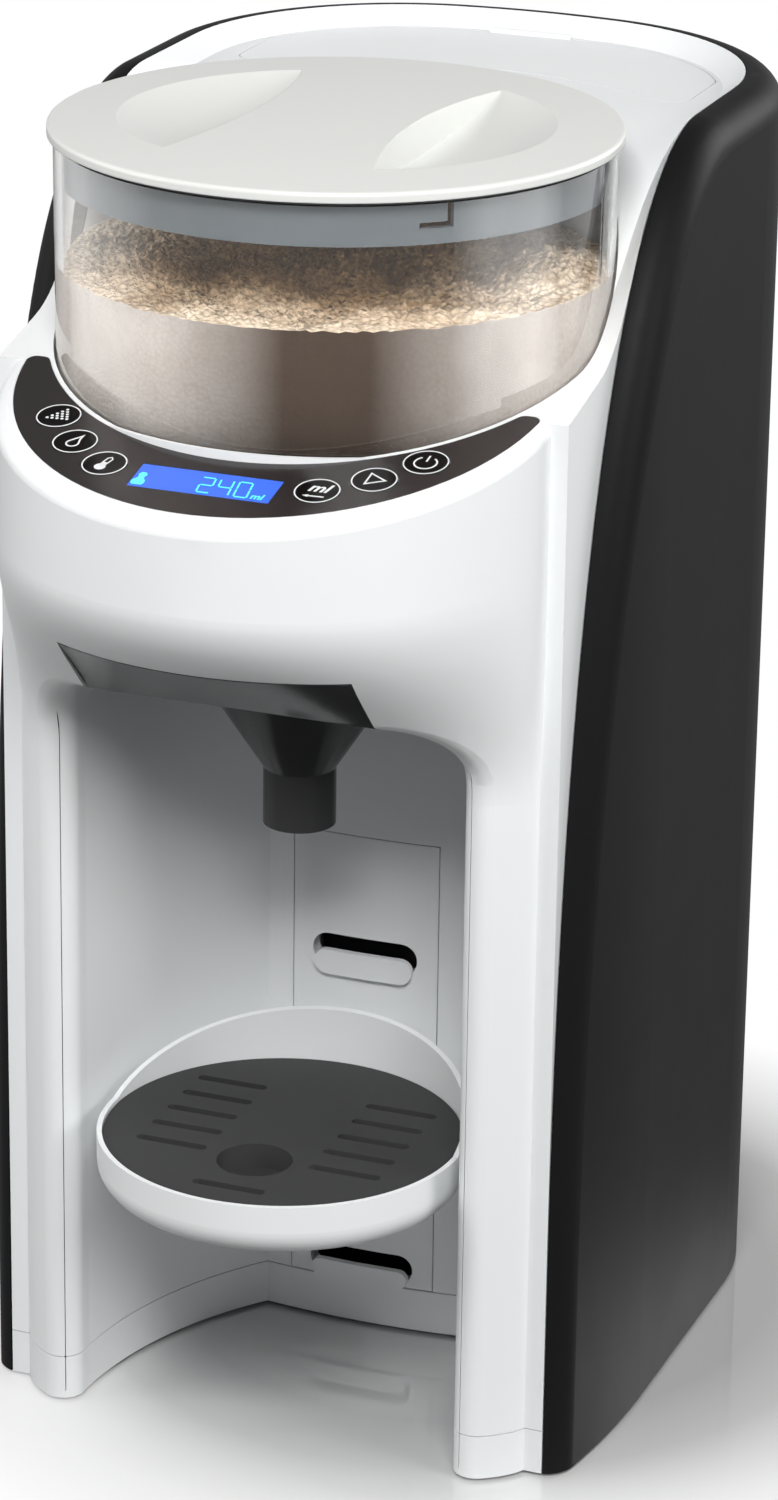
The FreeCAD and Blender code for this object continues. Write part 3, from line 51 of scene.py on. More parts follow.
WHITE_LIGHT: RGB = (1.0, 1.0, 1.0)


class Body(Enum):
    """Bodies of the machine that pieces ride on, besides the keys."""

    MACHINE = "machine"
    HOPPER = "hopper"


# ------------------------------------------------------------------ node helpers
class Tree:
    """Small wrapper that adds and joins shader nodes."""

    def __init__(self, tree: bpy.types.NodeTree) -> None:
        """Keep the tree and clear it.

        Args:
            tree: The node tree to fill.
        """
        self.tree = tree
        tree.nodes.clear()

    def add(self, kind: str, **values: object) -> bpy.types.Node:
        """Add a node and set its properties and inputs.

        Args:
            kind: Blender's name of the node type, without "ShaderNode".
            **values: A property of the node, or an input by name with spaces as underscores.

        Returns:
            The new node.
        """
        node = self.tree.nodes.new(kind if kind.startswith("Node") else "ShaderNode" + kind)
        for key, value in values.items():
            if hasattr(node, key):
                setattr(node, key, value)
            else:
                self.put(node.inputs[key.replace("_", " ")], value)
        return node

    def put(self, socket: bpy.types.NodeSocket, value: object) -> None:
        """Link a socket to another one, or set its plain value.

        Args:
            socket: The input to feed.
            value: A socket, a number, a vector or a colour.
        """
        if isinstance(value, bpy.types.NodeSocket):
            self.tree.links.new(value, socket)
        elif isinstance(value, tuple) and socket.type == "RGBA" and len(value) == 3:
            socket.default_value = (*value, 1.0)
        else:
            socket.default_value = value

    def math(self, operation: str, *values: object, clamp: bool = False) -> bpy.types.NodeSocket:
        """One Math node, and its result.

        Args:
            operation: The node's operation, such as "MULTIPLY".
            *values: Its sockets or numbers, in order.
            clamp: Keep the result between 0 and 1.

        Returns:
            The result's socket.
        """
        node = self.add("Math", operation=operation, use_clamp=clamp)
        for socket, value in zip(node.inputs, values):
            self.put(socket, value)
        return node.outputs[0]

    def span(self, value: object, low: object, high: object, a: float = 0.0,
             b: float = 1.0) -> bpy.types.NodeSocket:
        """Map a value from the range a..b to low..high, clamped.

        Args:
            value: Socket to read.
            low: Result at a.
            high: Result at b.
            a: Start of the range.
            b: End of the range.

        Returns:
            The mapped socket.
        """
        node = self.add("MapRange", Value=value, From_Min=a, From_Max=b, To_Min=low, To_Max=high)
        return node.outputs[0]

    def mix(self, share: object, a: object, b: object, blend: str = "MIX") -> bpy.types.NodeSocket:
        """Mix two colours.

        Args:
            share: Share of the second colour.
            a: First colour.
            b: Second colour.
            blend: Blend mode.

        Returns:
            The mixed colour's socket.
        """
        node = self.add("Mix", data_type="RGBA", blend_type=blend)
        for index, value in ((0, share), (6, a), (7, b)):
            self.put(node.inputs[index], value)
        return node.outputs[2]

    def here(self) -> bpy.types.NodeSocket:
        """Place on the piece, in Object coordinates."""
        return self.add("TexCoord").outputs["Object"]

    def feed(self, shader: bpy.types.Node, skin: bpy.types.Node) -> None:
        """Feed a shader's colour, roughness and normal from a group's.

        Args:
            shader: The Principled shader.
            skin: The group node, which may lack a roughness.
        """
        for source, target in (("Color", "Base Color"), ("Roughness", "Roughness"), ("Normal", "Normal")):
            if source in skin.outputs:
                self.put(shader.inputs[target], skin.outputs[source])

    def show(self, kind: str, shader: bpy.types.NodeSocket) -> None:
        """Join a shader to an output node of a kind, such as "OutputMaterial"."""
        self.put(self.add(kind).inputs[0], shader)


class GroupMaker:
    """Base of the shader node groups, which are each built once."""

    label = "group"
    sockets: Dict[str, object] = {}
    results: Dict[str, str] = {}

    @classmethod
    def get(cls) -> bpy.types.ShaderNodeTree:
        """Give the group's tree, built on first use.

        Returns:
            The node tree.
        """
        if cls.label in bpy.data.node_groups:
            return bpy.data.node_groups[cls.label]
        group = bpy.data.node_groups.new(cls.label, "ShaderNodeTree")
        for name, default in cls.sockets.items():
            kind = "NodeSocketColor" if isinstance(default, tuple) else "NodeSocketFloat"
            socket = group.interface.new_socket(name=name, in_out="INPUT", socket_type=kind)
            socket.default_value = (*default, 1.0) if isinstance(default, tuple) else default
        for name, kind in cls.results.items():
            group.interface.new_socket(name=name, in_out="OUTPUT", socket_type=kind)
        tree = Tree(group)
        source = tree.add("NodeGroupInput")
        sink = tree.add("NodeGroupOutput")
        cls.fill(tree, source.outputs, sink.inputs)
        return group

    @classmethod
    def fill(cls, tree: Tree, given: bpy.types.NodeOutputs, out: bpy.types.NodeInputs) -> None:
        """Fill the group; each kind of group has its own."""
        raise NotImplementedError

    @classmethod
    def place(cls, tree: Tree, **values: object) -> bpy.types.Node:
        """Place the group in a material with its own values.

        Args:
            tree: The material's tree.
            **values: The group's inputs by name, with spaces as underscores.

        Returns:
            The group node.
        """
        node = tree.add("Group", node_tree=cls.get())
        for name, value in values.items():
            tree.put(node.inputs[name.replace("_", " ")], value)
        return node


class MouldedSkin(GroupMaker):
    """Fine skin of a moulded plastic: faint grain, soft edges, uneven gloss and shade."""

    label = "moulded_skin"
    sockets = {"Color": (0.8, 0.8, 0.8), "Shade": 0.02, "Gloss": 0.25, "Smear": 0.06,
               "Grain": 900.0, "Relief": 0.05, "Edge": 0.0004}
    results = {"Color": "NodeSocketColor", "Roughness": "NodeSocketFloat", "Normal": "NodeSocketVector"}
    broad_scale = 11.0
    smear_scale = 46.0
    smear_twist = 0.6
    depth = 0.0002

    @classmethod
    def fill(cls, tree: Tree, given: bpy.types.NodeOutputs, out: bpy.types.NodeInputs) -> None:
        """Noise on Object coordinates drives shade, gloss and a shallow bump.

        Args:
            tree: The group's tree.
            given: The group's inputs.
            out: The group's results.
        """
        place = tree.here()
        broad = tree.add("TexNoise", Vector=place, Scale=cls.broad_scale, Detail=2.0).outputs[0]
        smear = tree.add("TexNoise", Vector=place, Scale=cls.smear_scale, Detail=4.0,
                         Distortion=cls.smear_twist).outputs[0]
        grain = tree.add("TexNoise", Vector=place, Scale=given["Grain"], Detail=2.0).outputs[0]
        level = tree.math("MULTIPLY_ADD", tree.math("SUBTRACT", broad, 0.5), given["Shade"], 1.0)
        tint = tree.add("VectorMath", operation="SCALE")
        tree.put(tint.inputs[0], given["Color"])
        tree.put(tint.inputs[3], level)
        tree.put(out["Color"], tint.outputs[0])
        rough = tree.math("MULTIPLY_ADD", tree.math("SUBTRACT", smear, 0.5), given["Smear"], given["Gloss"])
        tree.put(out["Roughness"], rough)
        edge = tree.add("Bevel", samples=4, Radius=given["Edge"]).outputs[0]
        bump = tree.add("Bump", Distance=cls.depth, Strength=given["Relief"], Height=grain, Normal=edge)
        tree.put(out["Normal"], bump.outputs[0])


class BrushedSkin(GroupMaker):
    """Fine parallel scratches of rolled or turned metal."""

    label = "brushed_skin"
    sockets = {"Color": (0.6, 0.6, 0.6), "Gloss": 0.3, "Stretch": 60.0, "Relief": 0.1}
    results = MouldedSkin.results
    squeeze = (1.0, 1.0, 0.03)
    scale_of_stretch = 20.0
    dark: RGB = (0.25, 0.25, 0.26)
    dark_share = 0.35
    uneven: Span = (-0.08, 0.12)
    depth = 0.0001

    @classmethod
    def fill(cls, tree: Tree, given: bpy.types.NodeOutputs, out: bpy.types.NodeInputs) -> None:
        """Noise stretched along Z drives colour, gloss and bump.

        Args:
            tree: The group's tree.
            given: The group's inputs.
            out: The group's results.
        """
        stretched = tree.add("VectorMath", operation="MULTIPLY")
        tree.put(stretched.inputs[0], tree.here())
        stretched.inputs[1].default_value = cls.squeeze
        scale = tree.math("MULTIPLY", given["Stretch"], cls.scale_of_stretch)
        lines = tree.add("TexNoise", Vector=stretched.outputs[0], Scale=scale, Detail=3.0).outputs[0]
        tree.put(out["Color"], tree.mix(tree.span(lines, 0.0, cls.dark_share), given["Color"], cls.dark))
        tree.put(out["Roughness"], tree.math("ADD", given["Gloss"], tree.span(lines, *cls.uneven)))
        bump = tree.add("Bump", Distance=cls.depth, Strength=given["Relief"], Height=lines)
        tree.put(out["Normal"], bump.outputs[0])


class Granules(GroupMaker):
    """Clumps and grains of dry milk powder."""

    label = "granules"
    sockets = {"Light": (0.8, 0.7, 0.6), "Dark": (0.4, 0.3, 0.2), "Clump": 260.0, "Relief": 0.6}
    results = {"Color": "NodeSocketColor", "Normal": "NodeSocketVector"}
    fine_scale = 1400.0
    patch_scale = 70.0
    hollow_from: Span = (0.25, 0.85)
    # share of painted shade in the hollows between clumps
    hollow_shade = 0.55
    stain: Span = (-0.25, 0.55)
    stain_from: Span = (0.3, 0.7)
    depth = 0.0012

    @classmethod
    def fill(cls, tree: Tree, given: bpy.types.NodeOutputs, out: bpy.types.NodeInputs) -> None:
        """Cells give crevices, darkened as painted shade, and two noises tint and roughen them.

        Args:
            tree: The group's tree.
            given: The group's inputs.
            out: The group's results.
        """
        place = tree.here()
        cells = tree.add("TexVoronoi", Vector=place, Scale=given["Clump"]).outputs["Distance"]
        fine = tree.add("TexNoise", Vector=place, Scale=cls.fine_scale, Detail=3.0).outputs[0]
        patch = tree.add("TexNoise", Vector=place, Scale=cls.patch_scale, Detail=3.0).outputs[0]
        hollow = tree.span(cells, 0.0, 1.0, *cls.hollow_from)
        stain = tree.span(patch, *cls.stain, *cls.stain_from)
        # painted shade in the hollows, plus patches of darker tone
        share = tree.math("ADD", tree.math("MULTIPLY", hollow, cls.hollow_shade), stain, clamp=True)
        tree.put(out["Color"], tree.mix(share, given["Light"], given["Dark"]))
        height = tree.math("SUBTRACT", tree.math("MULTIPLY", fine, 0.5), hollow)
        bump = tree.add("Bump", Distance=cls.depth, Strength=given["Relief"], Height=height)
        tree.put(out["Normal"], bump.outputs[0])


# ------------------------------------------------------------------ finishes
@dataclass(frozen=True)
class Finish:
    """A plastic or rubber finish on one Principled shader.

    The moulded skin group gives its colour, gloss and relief.
    """

    name: str
    colour: RGB
    gloss: float = 0.25
    smear: float = 0.06
    shade: float = 0.02
    grain: float = 900.0
    relief: float = 0.05
    edge: float = 0.0004
    metal: float = 0.0
    specular: float = 0.5
    glow: float = 0.0

    def material(self) -> bpy.types.Material:
        """Give the material of this finish, built on first use.

        Returns:
            The material.
        """
        if self.name in bpy.data.materials:
            return bpy.data.materials[self.name]
        mat = bpy.data.materials.new(self.name)
        mat.use_nodes = True
        tree = Tree(mat.node_tree)
        shader = tree.add("BsdfPrincipled", Metallic=self.metal, Specular_IOR_Level=self.specular)
        self.skin(tree, shader)
        self.surface(tree, shader)
        mat.diffuse_color = (*self.colour, 1.0)
        return mat

    def skin(self, tree: Tree, shader: bpy.types.Node) -> None:
        """Feed the shader's colour, roughness and normal.

        Args:
            tree: The material's tree.
            shader: Its Principled shader.
        """
        tree.feed(shader, MouldedSkin.place(tree, Color=self.colour, Shade=self.shade, Gloss=self.gloss,
                                            Smear=self.smear, Grain=self.grain, Relief=self.relief,
                                            Edge=self.edge))

    def surface(self, tree: Tree, shader: bpy.types.Node) -> None:
        """Join the shader to the output, lit from inside where it glows.

        Args:
            tree: The material's tree.
            shader: Its Principled shader.
        """
        if self.glow:
            tree.put(shader.inputs["Emission Color"], self.colour)
            tree.put(shader.inputs["Emission Strength"], self.glow)
        tree.show("OutputMaterial", shader.outputs[0])


@dataclass(frozen=True)
class ClearFinish(Finish):
    """A clear, smoked or frosted plastic that lets lamps through."""

    through: float = 1.0
    refraction: float = 1.45
    lamp_share: float = 0.9
    # painted shade on edges seen edge on: its colour, and the facing span over which it sets in
    edge_shade: RGB = (0.0, 0.0, 0.0)
    edge_shade_from: float = 1.0
    edge_shade_to: float = 0.97

    def skin(self, tree: Tree, shader: bpy.types.Node) -> None:
        """Darken the moulded skin where the wall is seen edge on: painted shade that stands in for the dark
        shell seen through the wall's edge.

        Args:
            tree: The material's tree.
            shader: Its Principled shader.
        """
        super().skin(tree, shader)
        if self.edge_shade_from < self.edge_shade_to:
            facing = tree.add("LayerWeight", Blend=0.5).outputs["Facing"]
            plain = shader.inputs["Base Color"].links[0].from_socket
            share = tree.span(facing, 0.0, 1.0, self.edge_shade_from, self.edge_shade_to)
            tree.put(shader.inputs["Base Color"], tree.mix(share, plain, self.edge_shade))

    def surface(self, tree: Tree, shader: bpy.types.Node) -> None:
        """Let rays from lamps pass, so that what is behind is lit.

        Args:
            tree: The material's tree.
            shader: Its Principled shader.
        """
        shader.inputs["Transmission Weight"].default_value = self.through
        shader.inputs["IOR"].default_value = self.refraction
        rays = tree.add("LightPath")
        passing = tree.add("BsdfTransparent", Color=self.colour)
        blend = tree.add("MixShader")
        tree.put(blend.inputs[0], tree.math("MULTIPLY", rays.outputs["Is Shadow Ray"], self.lamp_share))
        tree.put(blend.inputs[1], shader.outputs[0])
        tree.put(blend.inputs[2], passing.outputs[0])
        tree.show("OutputMaterial", blend.outputs[0])


@dataclass(frozen=True)
class MetalFinish(Finish):
    """Rolled or turned metal with fine scratches."""

    metal: float = 1.0
    stretch: float = 60.0

    def skin(self, tree: Tree, shader: bpy.types.Node) -> None:
        """Feed the shader from the brushed group.

        Args:
            tree: The material's tree.
            shader: Its Principled shader.
        """
        tree.feed(shader, BrushedSkin.place(tree, Color=self.colour, Gloss=self.gloss,
                                            Stretch=self.stretch, Relief=self.relief))


@dataclass(frozen=True)
class PowderFinish(Finish):
    """Dry milk powder: a light and a dark grain colour, and painted shade, darker and browner in a patch of
    it.
    """

    dark: RGB = (0.3, 0.2, 0.1)
    clump: float = 260.0
    # painted shade: the colour multiplied in where shade falls, and the spans of Y and X that it covers
    painted_shade: RGB = (1.0, 1.0, 1.0)
    painted_shade_y: Span = (-0.096, -0.070)
    painted_shade_x: Tuple[float, float, float] = (0.0, 0.025, 0.062)

    def skin(self, tree: Tree, shader: bpy.types.Node) -> None:
        """Feed the shader from the granules group, with painted shade: darker and browner towards the back
        and near a given X.

        Args:
            tree: The material's tree.
            shader: Its Principled shader.
        """
        skin = Granules.place(tree, Light=self.colour, Dark=self.dark, Clump=self.clump, Relief=self.relief)
        tree.feed(shader, skin)
        # painted shade, growing towards the back and strongest near a given X
        place = tree.add("SeparateXYZ", Vector=tree.here()).outputs
        inward = tree.span(place["Y"], 0.0, 1.0, *self.painted_shade_y)
        middle, inner, outer = self.painted_shade_x
        across = tree.math("ABSOLUTE", tree.math("SUBTRACT", place["X"], middle))
        beside = tree.span(across, 1.0, 0.0, inner, outer)
        shade = tree.mix(tree.math("MULTIPLY", inward, beside), (1.0, 1.0, 1.0), self.painted_shade)
        tree.put(shader.inputs["Base Color"], tree.mix(1.0, skin.outputs["Color"], shade, "MULTIPLY"))
        shader.inputs["Roughness"].default_value = self.gloss


@dataclass(frozen=True)
class GlowFinish(Finish):
    """A back-lit window, brightest at its middle."""

    dark: RGB = (0.02, 0.02, 0.3)
    centre: Tuple[float, float, float] = (0.0, 0.0, 0.0)
    reach: float = 0.02
    full_share: float = 0.3

    def surface(self, tree: Tree, shader: bpy.types.Node) -> None:
        """Let the emission fall off from the window's middle to its edges.

        Args:
            tree: The material's tree.
            shader: Its Principled shader.
        """
        away = tree.add("VectorMath", operation="DISTANCE")
        tree.put(away.inputs[0], tree.here())
        away.inputs[1].default_value = self.centre
        share = tree.span(away.outputs["Value"], 0.0, 1.0, self.full_share * self.reach, self.reach)
        tree.put(shader.inputs["Emission Color"], tree.mix(share, self.colour, self.dark))
        shader.inputs["Emission Strength"].default_value = self.glow
        tree.show("OutputMaterial", shader.outputs[0])


class Finishes:
    """Every finish of the machine, by what it covers."""

    WHITE = Finish("white_gloss", (0.80, 0.815, 0.82), gloss=0.4, specular=0.35, relief=0.02, edge=0.0)
    WARM_WHITE = Finish("lid_white", (0.71, 0.715, 0.69), gloss=0.36, specular=0.4, relief=0.03, edge=0.0005)
    SHELL = Finish("satin_black", (0.0075, 0.0075, 0.0075), gloss=0.5, relief=0.1, grain=1500.0, shade=0.05,
                   specular=0.09)
    BASE = Finish("base_black", (0.02, 0.02, 0.022), gloss=0.5, relief=0.2, grain=1300.0)
    PANEL = Finish("panel_black", (0.010, 0.006, 0.006), gloss=0.16, smear=0.03, specular=0.08,
                   relief=0.01, edge=0.0002)
    CAP = Finish("button_black", (0.006, 0.005, 0.005), gloss=0.1, smear=0.03, specular=0.08, relief=0.01)
    GRILLE = Finish("grille_black", (0.004, 0.004, 0.0042), gloss=0.36, specular=0.02, relief=0.2,
                    grain=1600.0)
    RUBBER = Finish("rubber", (0.02, 0.02, 0.021), gloss=0.7, relief=0.3, grain=1200.0)
    SEAL = Finish("seal", (0.01, 0.01, 0.011), gloss=0.55, relief=0.1)
    # the hopper's clear wall, with painted dark edges
    CLEAR = ClearFinish("clear_plastic", (0.97, 0.965, 0.96), gloss=0.02, smear=0.02, shade=0.0, relief=0.0,
                        edge=0.0, edge_shade=(0.10, 0.09, 0.08), edge_shade_from=0.82)
    TANK = ClearFinish("tank_plastic", (0.86, 0.92, 0.96), gloss=0.06, smear=0.03, relief=0.01, edge=0.0005)
    FROST = ClearFinish("frosted_plastic", (0.10, 0.115, 0.125), gloss=0.35, smear=0.1, through=0.2,
                        lamp_share=0.4, edge=0.0)
    SMOKE = ClearFinish("smoked_plastic", (0.052, 0.052, 0.053), gloss=0.16, smear=0.05, through=0.25,
                        specular=0.12, lamp_share=0.35, edge=0.0003)
    ACETAL = Finish("white_acetal", (0.80, 0.80, 0.77), gloss=0.38, relief=0.06)
    FRAME_GREY = Finish("frame_grey", (0.45, 0.46, 0.47), gloss=0.45, relief=0.15)
    BOARD = Finish("board_green", (0.02, 0.10, 0.04), gloss=0.35, relief=0.2, grain=500.0, shade=0.2)
    TUBE = Finish("silicone_tube", (0.75, 0.74, 0.70), gloss=0.35)
    STEEL = MetalFinish("plated_steel", (0.62, 0.62, 0.63), gloss=0.3, relief=0.1)
    CAST = MetalFinish("cast_alloy", (0.60, 0.60, 0.61), gloss=0.48, relief=0.3, stretch=15.0)
    # the loose powder's painted shade: darker and browner towards the back, where the lid shades it
    POWDER = PowderFinish("milk_powder", (0.66, 0.56, 0.44), dark=(0.26, 0.18, 0.10), gloss=0.9,
                          clump=620.0, relief=0.7, painted_shade=(0.50, 0.36, 0.20))
    # the pressed powder's painted shade: a dark brown band down the middle of the wall
    PRESSED = PowderFinish("pressed_powder", (0.36, 0.333, 0.31), dark=(0.30, 0.27, 0.245), gloss=0.9,
                           clump=900.0, relief=0.12, painted_shade=(0.09, 0.055, 0.03), painted_shade_y=(-0.2, -0.15),
                           painted_shade_x=(0.024, 0.010, 0.044))
    PRINT = Finish("print_white", (0.78, 0.79, 0.80), gloss=0.4, relief=0.0, edge=0.0)
    DIGITS = Finish("display_cyan", (0.10, 0.58, 0.90), gloss=0.6, specular=0.0, relief=0.0, edge=0.0,
                    glow=0.75)


NODE_FINISH: Dict[str, Finish] = {
    "front_housing": Finishes.WHITE, "base_plinth": Finishes.WHITE, "tray_rail_plate": Finishes.WHITE,
    "tray_cup": Finishes.WHITE, "lid_cap": Finishes.WARM_WHITE, "tank_lid": Finishes.WHITE,
    "rear_shell": Finishes.SHELL, "base_plate": Finishes.BASE, "cord_gland": Finishes.BASE,
    "rubber_feet": Finishes.RUBBER, "control_panel": Finishes.PANEL, "display_module": Finishes.FRAME_GREY,
    "control_board": Finishes.BOARD, "inner_chassis": Finishes.FRAME_GREY, "gear_motor": Finishes.STEEL,
    "powder_chute": Finishes.ACETAL, "water_pump": Finishes.BASE, "heater_block": Finishes.CAST,
    "water_tubes": Finishes.TUBE, "water_nozzle": Finishes.STEEL, "power_board": Finishes.BOARD,
    "powder_container": Finishes.CLEAR, "scraper_plate": Finishes.ACETAL, "lid_gasket": Finishes.SEAL,
    "lid_skirt": Finishes.FROST, "dosing_wheel": Finishes.ACETAL, "stirrer": Finishes.ACETAL,
    "drive_gear": Finishes.ACETAL, "motor_pinion": Finishes.ACETAL, "funnel_drawer": Finishes.SMOKE,
    "tray_grille": Finishes.GRILLE, "water_tank": Finishes.TANK, "tank_valve": Finishes.SEAL,
}


def dress(node: str, finish: Finish) -> None:
    """Give a CAD node its material.

    Args:
        node: Name of the node.
        finish: Its finish.
    """
    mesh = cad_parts[node].data
    mesh.materials.clear()
    mesh.materials.append(finish.material())


def piece(name: str, bm: bmesh.types.BMesh, finish: Finish, body: str,
          smooth: bool = False) -> bpy.types.Object:
    """Turn a bmesh into a finished piece that rides on a body.

    Args:
        name: Name of the piece.
        bm: Its mesh, in place, which is freed.
        finish: Its finish.
        body: Body that it rides on.
        smooth: Shade it smooth.

    Returns:
        The new object.
    """
    mesh = bpy.data.meshes.new(name)
    for face in bm.faces:
        face.smooth = smooth
    bm.to_mesh(mesh)
    bm.free()
    mesh.materials.append(finish.material())
    obj = bpy.data.objects.new(name, mesh)
    bpy.context.scene.collection.objects.link(obj)
    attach(obj, body)
    LOG.info("%s: %d faces on %s", name, len(mesh.polygons), body)
    return obj


# ------------------------------------------------------------------ hopper
@dataclass
class Hopper:
    """The milk powder in the clear hopper."""

    axis_y: float = -29.5 * MM
    powder_r: float = 71.3 * MM
    foot_z: float = 287.0 * MM
    wall_step: float = 12.0 * MM
    level_z: float = 323.2 * MM
    hollow_r: float = 67.2 * MM     # the stirrer turns inside this
    hollow_z: float = 318.4 * MM
    crust: float = 1.0 * MM         # least powder over that hollow
    rings: int = 120
    steps: int = 320

    heap: float = 6.5 * MM
    heap_scale: float = 34.0
    heap_shift: Vector = field(default_factory=lambda: Vector((0.7, 0.2, 0.0)))
    mounds: Tuple[Tuple[float, float, float, float], ...] = (    # x, y, height and reach
        (-50 * MM, -10 * MM, 5.0 * MM, 26 * MM),
        (62 * MM, -20 * MM, 5.5 * MM, 20 * MM),
    )
    lump: float = 1.5 * MM
    lump_scale: float = 520.0
    lump_middle: float = 0.55       # the lumps' noise swings about this
    grain_share: float = 0.55
    grain_scale: float = 1500.0
    wall_lump: float = 0.25         # share of the lumps left at the wall
    wall_slope: float = 0.2         # steeper faces lie against the wall
    wall_face: float = (0.8 * MM) ** 2

    def build(self) -> None:
        """Make the powder: a heap whose underside leaves room for the stirrer."""
        bm = bmesh.new()
        pitch = self.powder_r / self.rings
        points = [Vector((pitch * i, self.axis_y, self.level_z)) for i in range(self.rings + 1)]
        points += [Vector((x, self.axis_y, z)) for x, z in (
            (self.powder_r, self.foot_z + self.wall_step), (self.powder_r, self.foot_z),
            (self.hollow_r, self.foot_z), (self.hollow_r, self.hollow_z), (0.0, self.hollow_z))]
        verts = [bm.verts.new(p) for p in points]
        edges = [bm.edges.new(pair) for pair in zip(verts, verts[1:])]
        bmesh.ops.spin(bm, geom=verts + edges, cent=(0.0, self.axis_y, 0.0), axis=(0, 0, 1),
                       angle=math.tau, steps=self.steps, use_merge=True)
        bmesh.ops.remove_doubles(bm, verts=bm.verts, dist=1e-6)
        for vert in bm.verts:
            if vert.co.z > self.level_z - 0.1 * MM:
                vert.co.z = self.surface(vert.co)
        bmesh.ops.recalc_face_normals(bm, faces=bm.faces)
        obj = piece("milk_powder", bm, Finishes.POWDER, Body.HOPPER.value, smooth=True)
        obj.data.materials.append(Finishes.PRESSED.material())
        for face in obj.data.polygons:
            if abs(face.normal.z) < self.wall_slope and face.area > self.wall_face:
                face.material_index = 1

    def surface(self, point: Vector) -> float:
        """Height of the powder at a point.

        Args:
            point: Place in the plan.

        Returns:
            The height, in metres.
        """
        flat = Vector((point.x, point.y, 0.0))
        away = min(1.0, (flat - Vector((0, self.axis_y, 0))).length / self.powder_r)
        broad = abs(noise.noise(flat * self.heap_scale + self.heap_shift)) * self.heap
        mound = sum(height * math.exp(-((point.x - x) ** 2 + (point.y - y) ** 2) / reach ** 2)
                    for x, y, height, reach in self.mounds)
        cells = noise.turbulence(flat * self.lump_scale, 3, False, noise_basis="VORONOI_F1")
        grains = noise.noise(flat * self.grain_scale) * self.grain_share
        lumps = (cells - self.lump_middle) * self.lump + grains * self.lump
        fade = 1 - away ** 10
        rough = lumps * (self.wall_lump + (1 - self.wall_lump) * fade)
        height = self.level_z + (broad + mound) * fade + rough
        return max(height, self.hollow_z + self.crust)


# ------------------------------------------------------------------ control panel
@dataclass
class PanelFace:
    """The sloping face that carries the display and the icons."""

    slope: float = math.radians(13.0)
    lift: float = 0.06 * MM
    flat: float = 0.02 * MM

    @property
    def normal(self) -> Vector:
        """Outward normal of the face."""
        return Vector((0.0, -math.sin(self.slope), math.cos(self.slope)))

    @property
    def up(self) -> Vector:
        """Direction of up on the face, away from the user."""
        return Vector((0.0, math.cos(self.slope), math.sin(self.slope)))

    def face_of(self, node: str) -> Vector:
        """Centre of a node's outermost face along the panel's normal.

        Args:
            node: Name of the CAD node.

        Returns:
            The centre, in metres.
        """
        points = [v.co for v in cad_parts[node].data.vertices]
        top = max(p.dot(self.normal) for p in points)
        face = [p for p in points if top - p.dot(self.normal) < self.flat]
        across = [p.x for p in face]
        along = [p.dot(self.up) for p in face]
        x, u = (min(across) + max(across)) / 2, (min(along) + max(along)) / 2
        return Vector((x, 0, 0)) + self.up * u + self.normal * top

    def placed(self, bm: bmesh.types.BMesh, centre: Vector) -> None:
        """Turn a flat mesh drawn in X and Y into place on the face.

        Args:
            bm: The mesh.
            centre: Where its origin goes.
        """
        turn = Matrix((Vector((1, 0, 0)), self.up, self.normal)).transposed().to_4x4()
        shift = Matrix.Translation(centre + self.normal * self.lift)
        bmesh.ops.transform(bm, matrix=shift @ turn, verts=bm.verts)


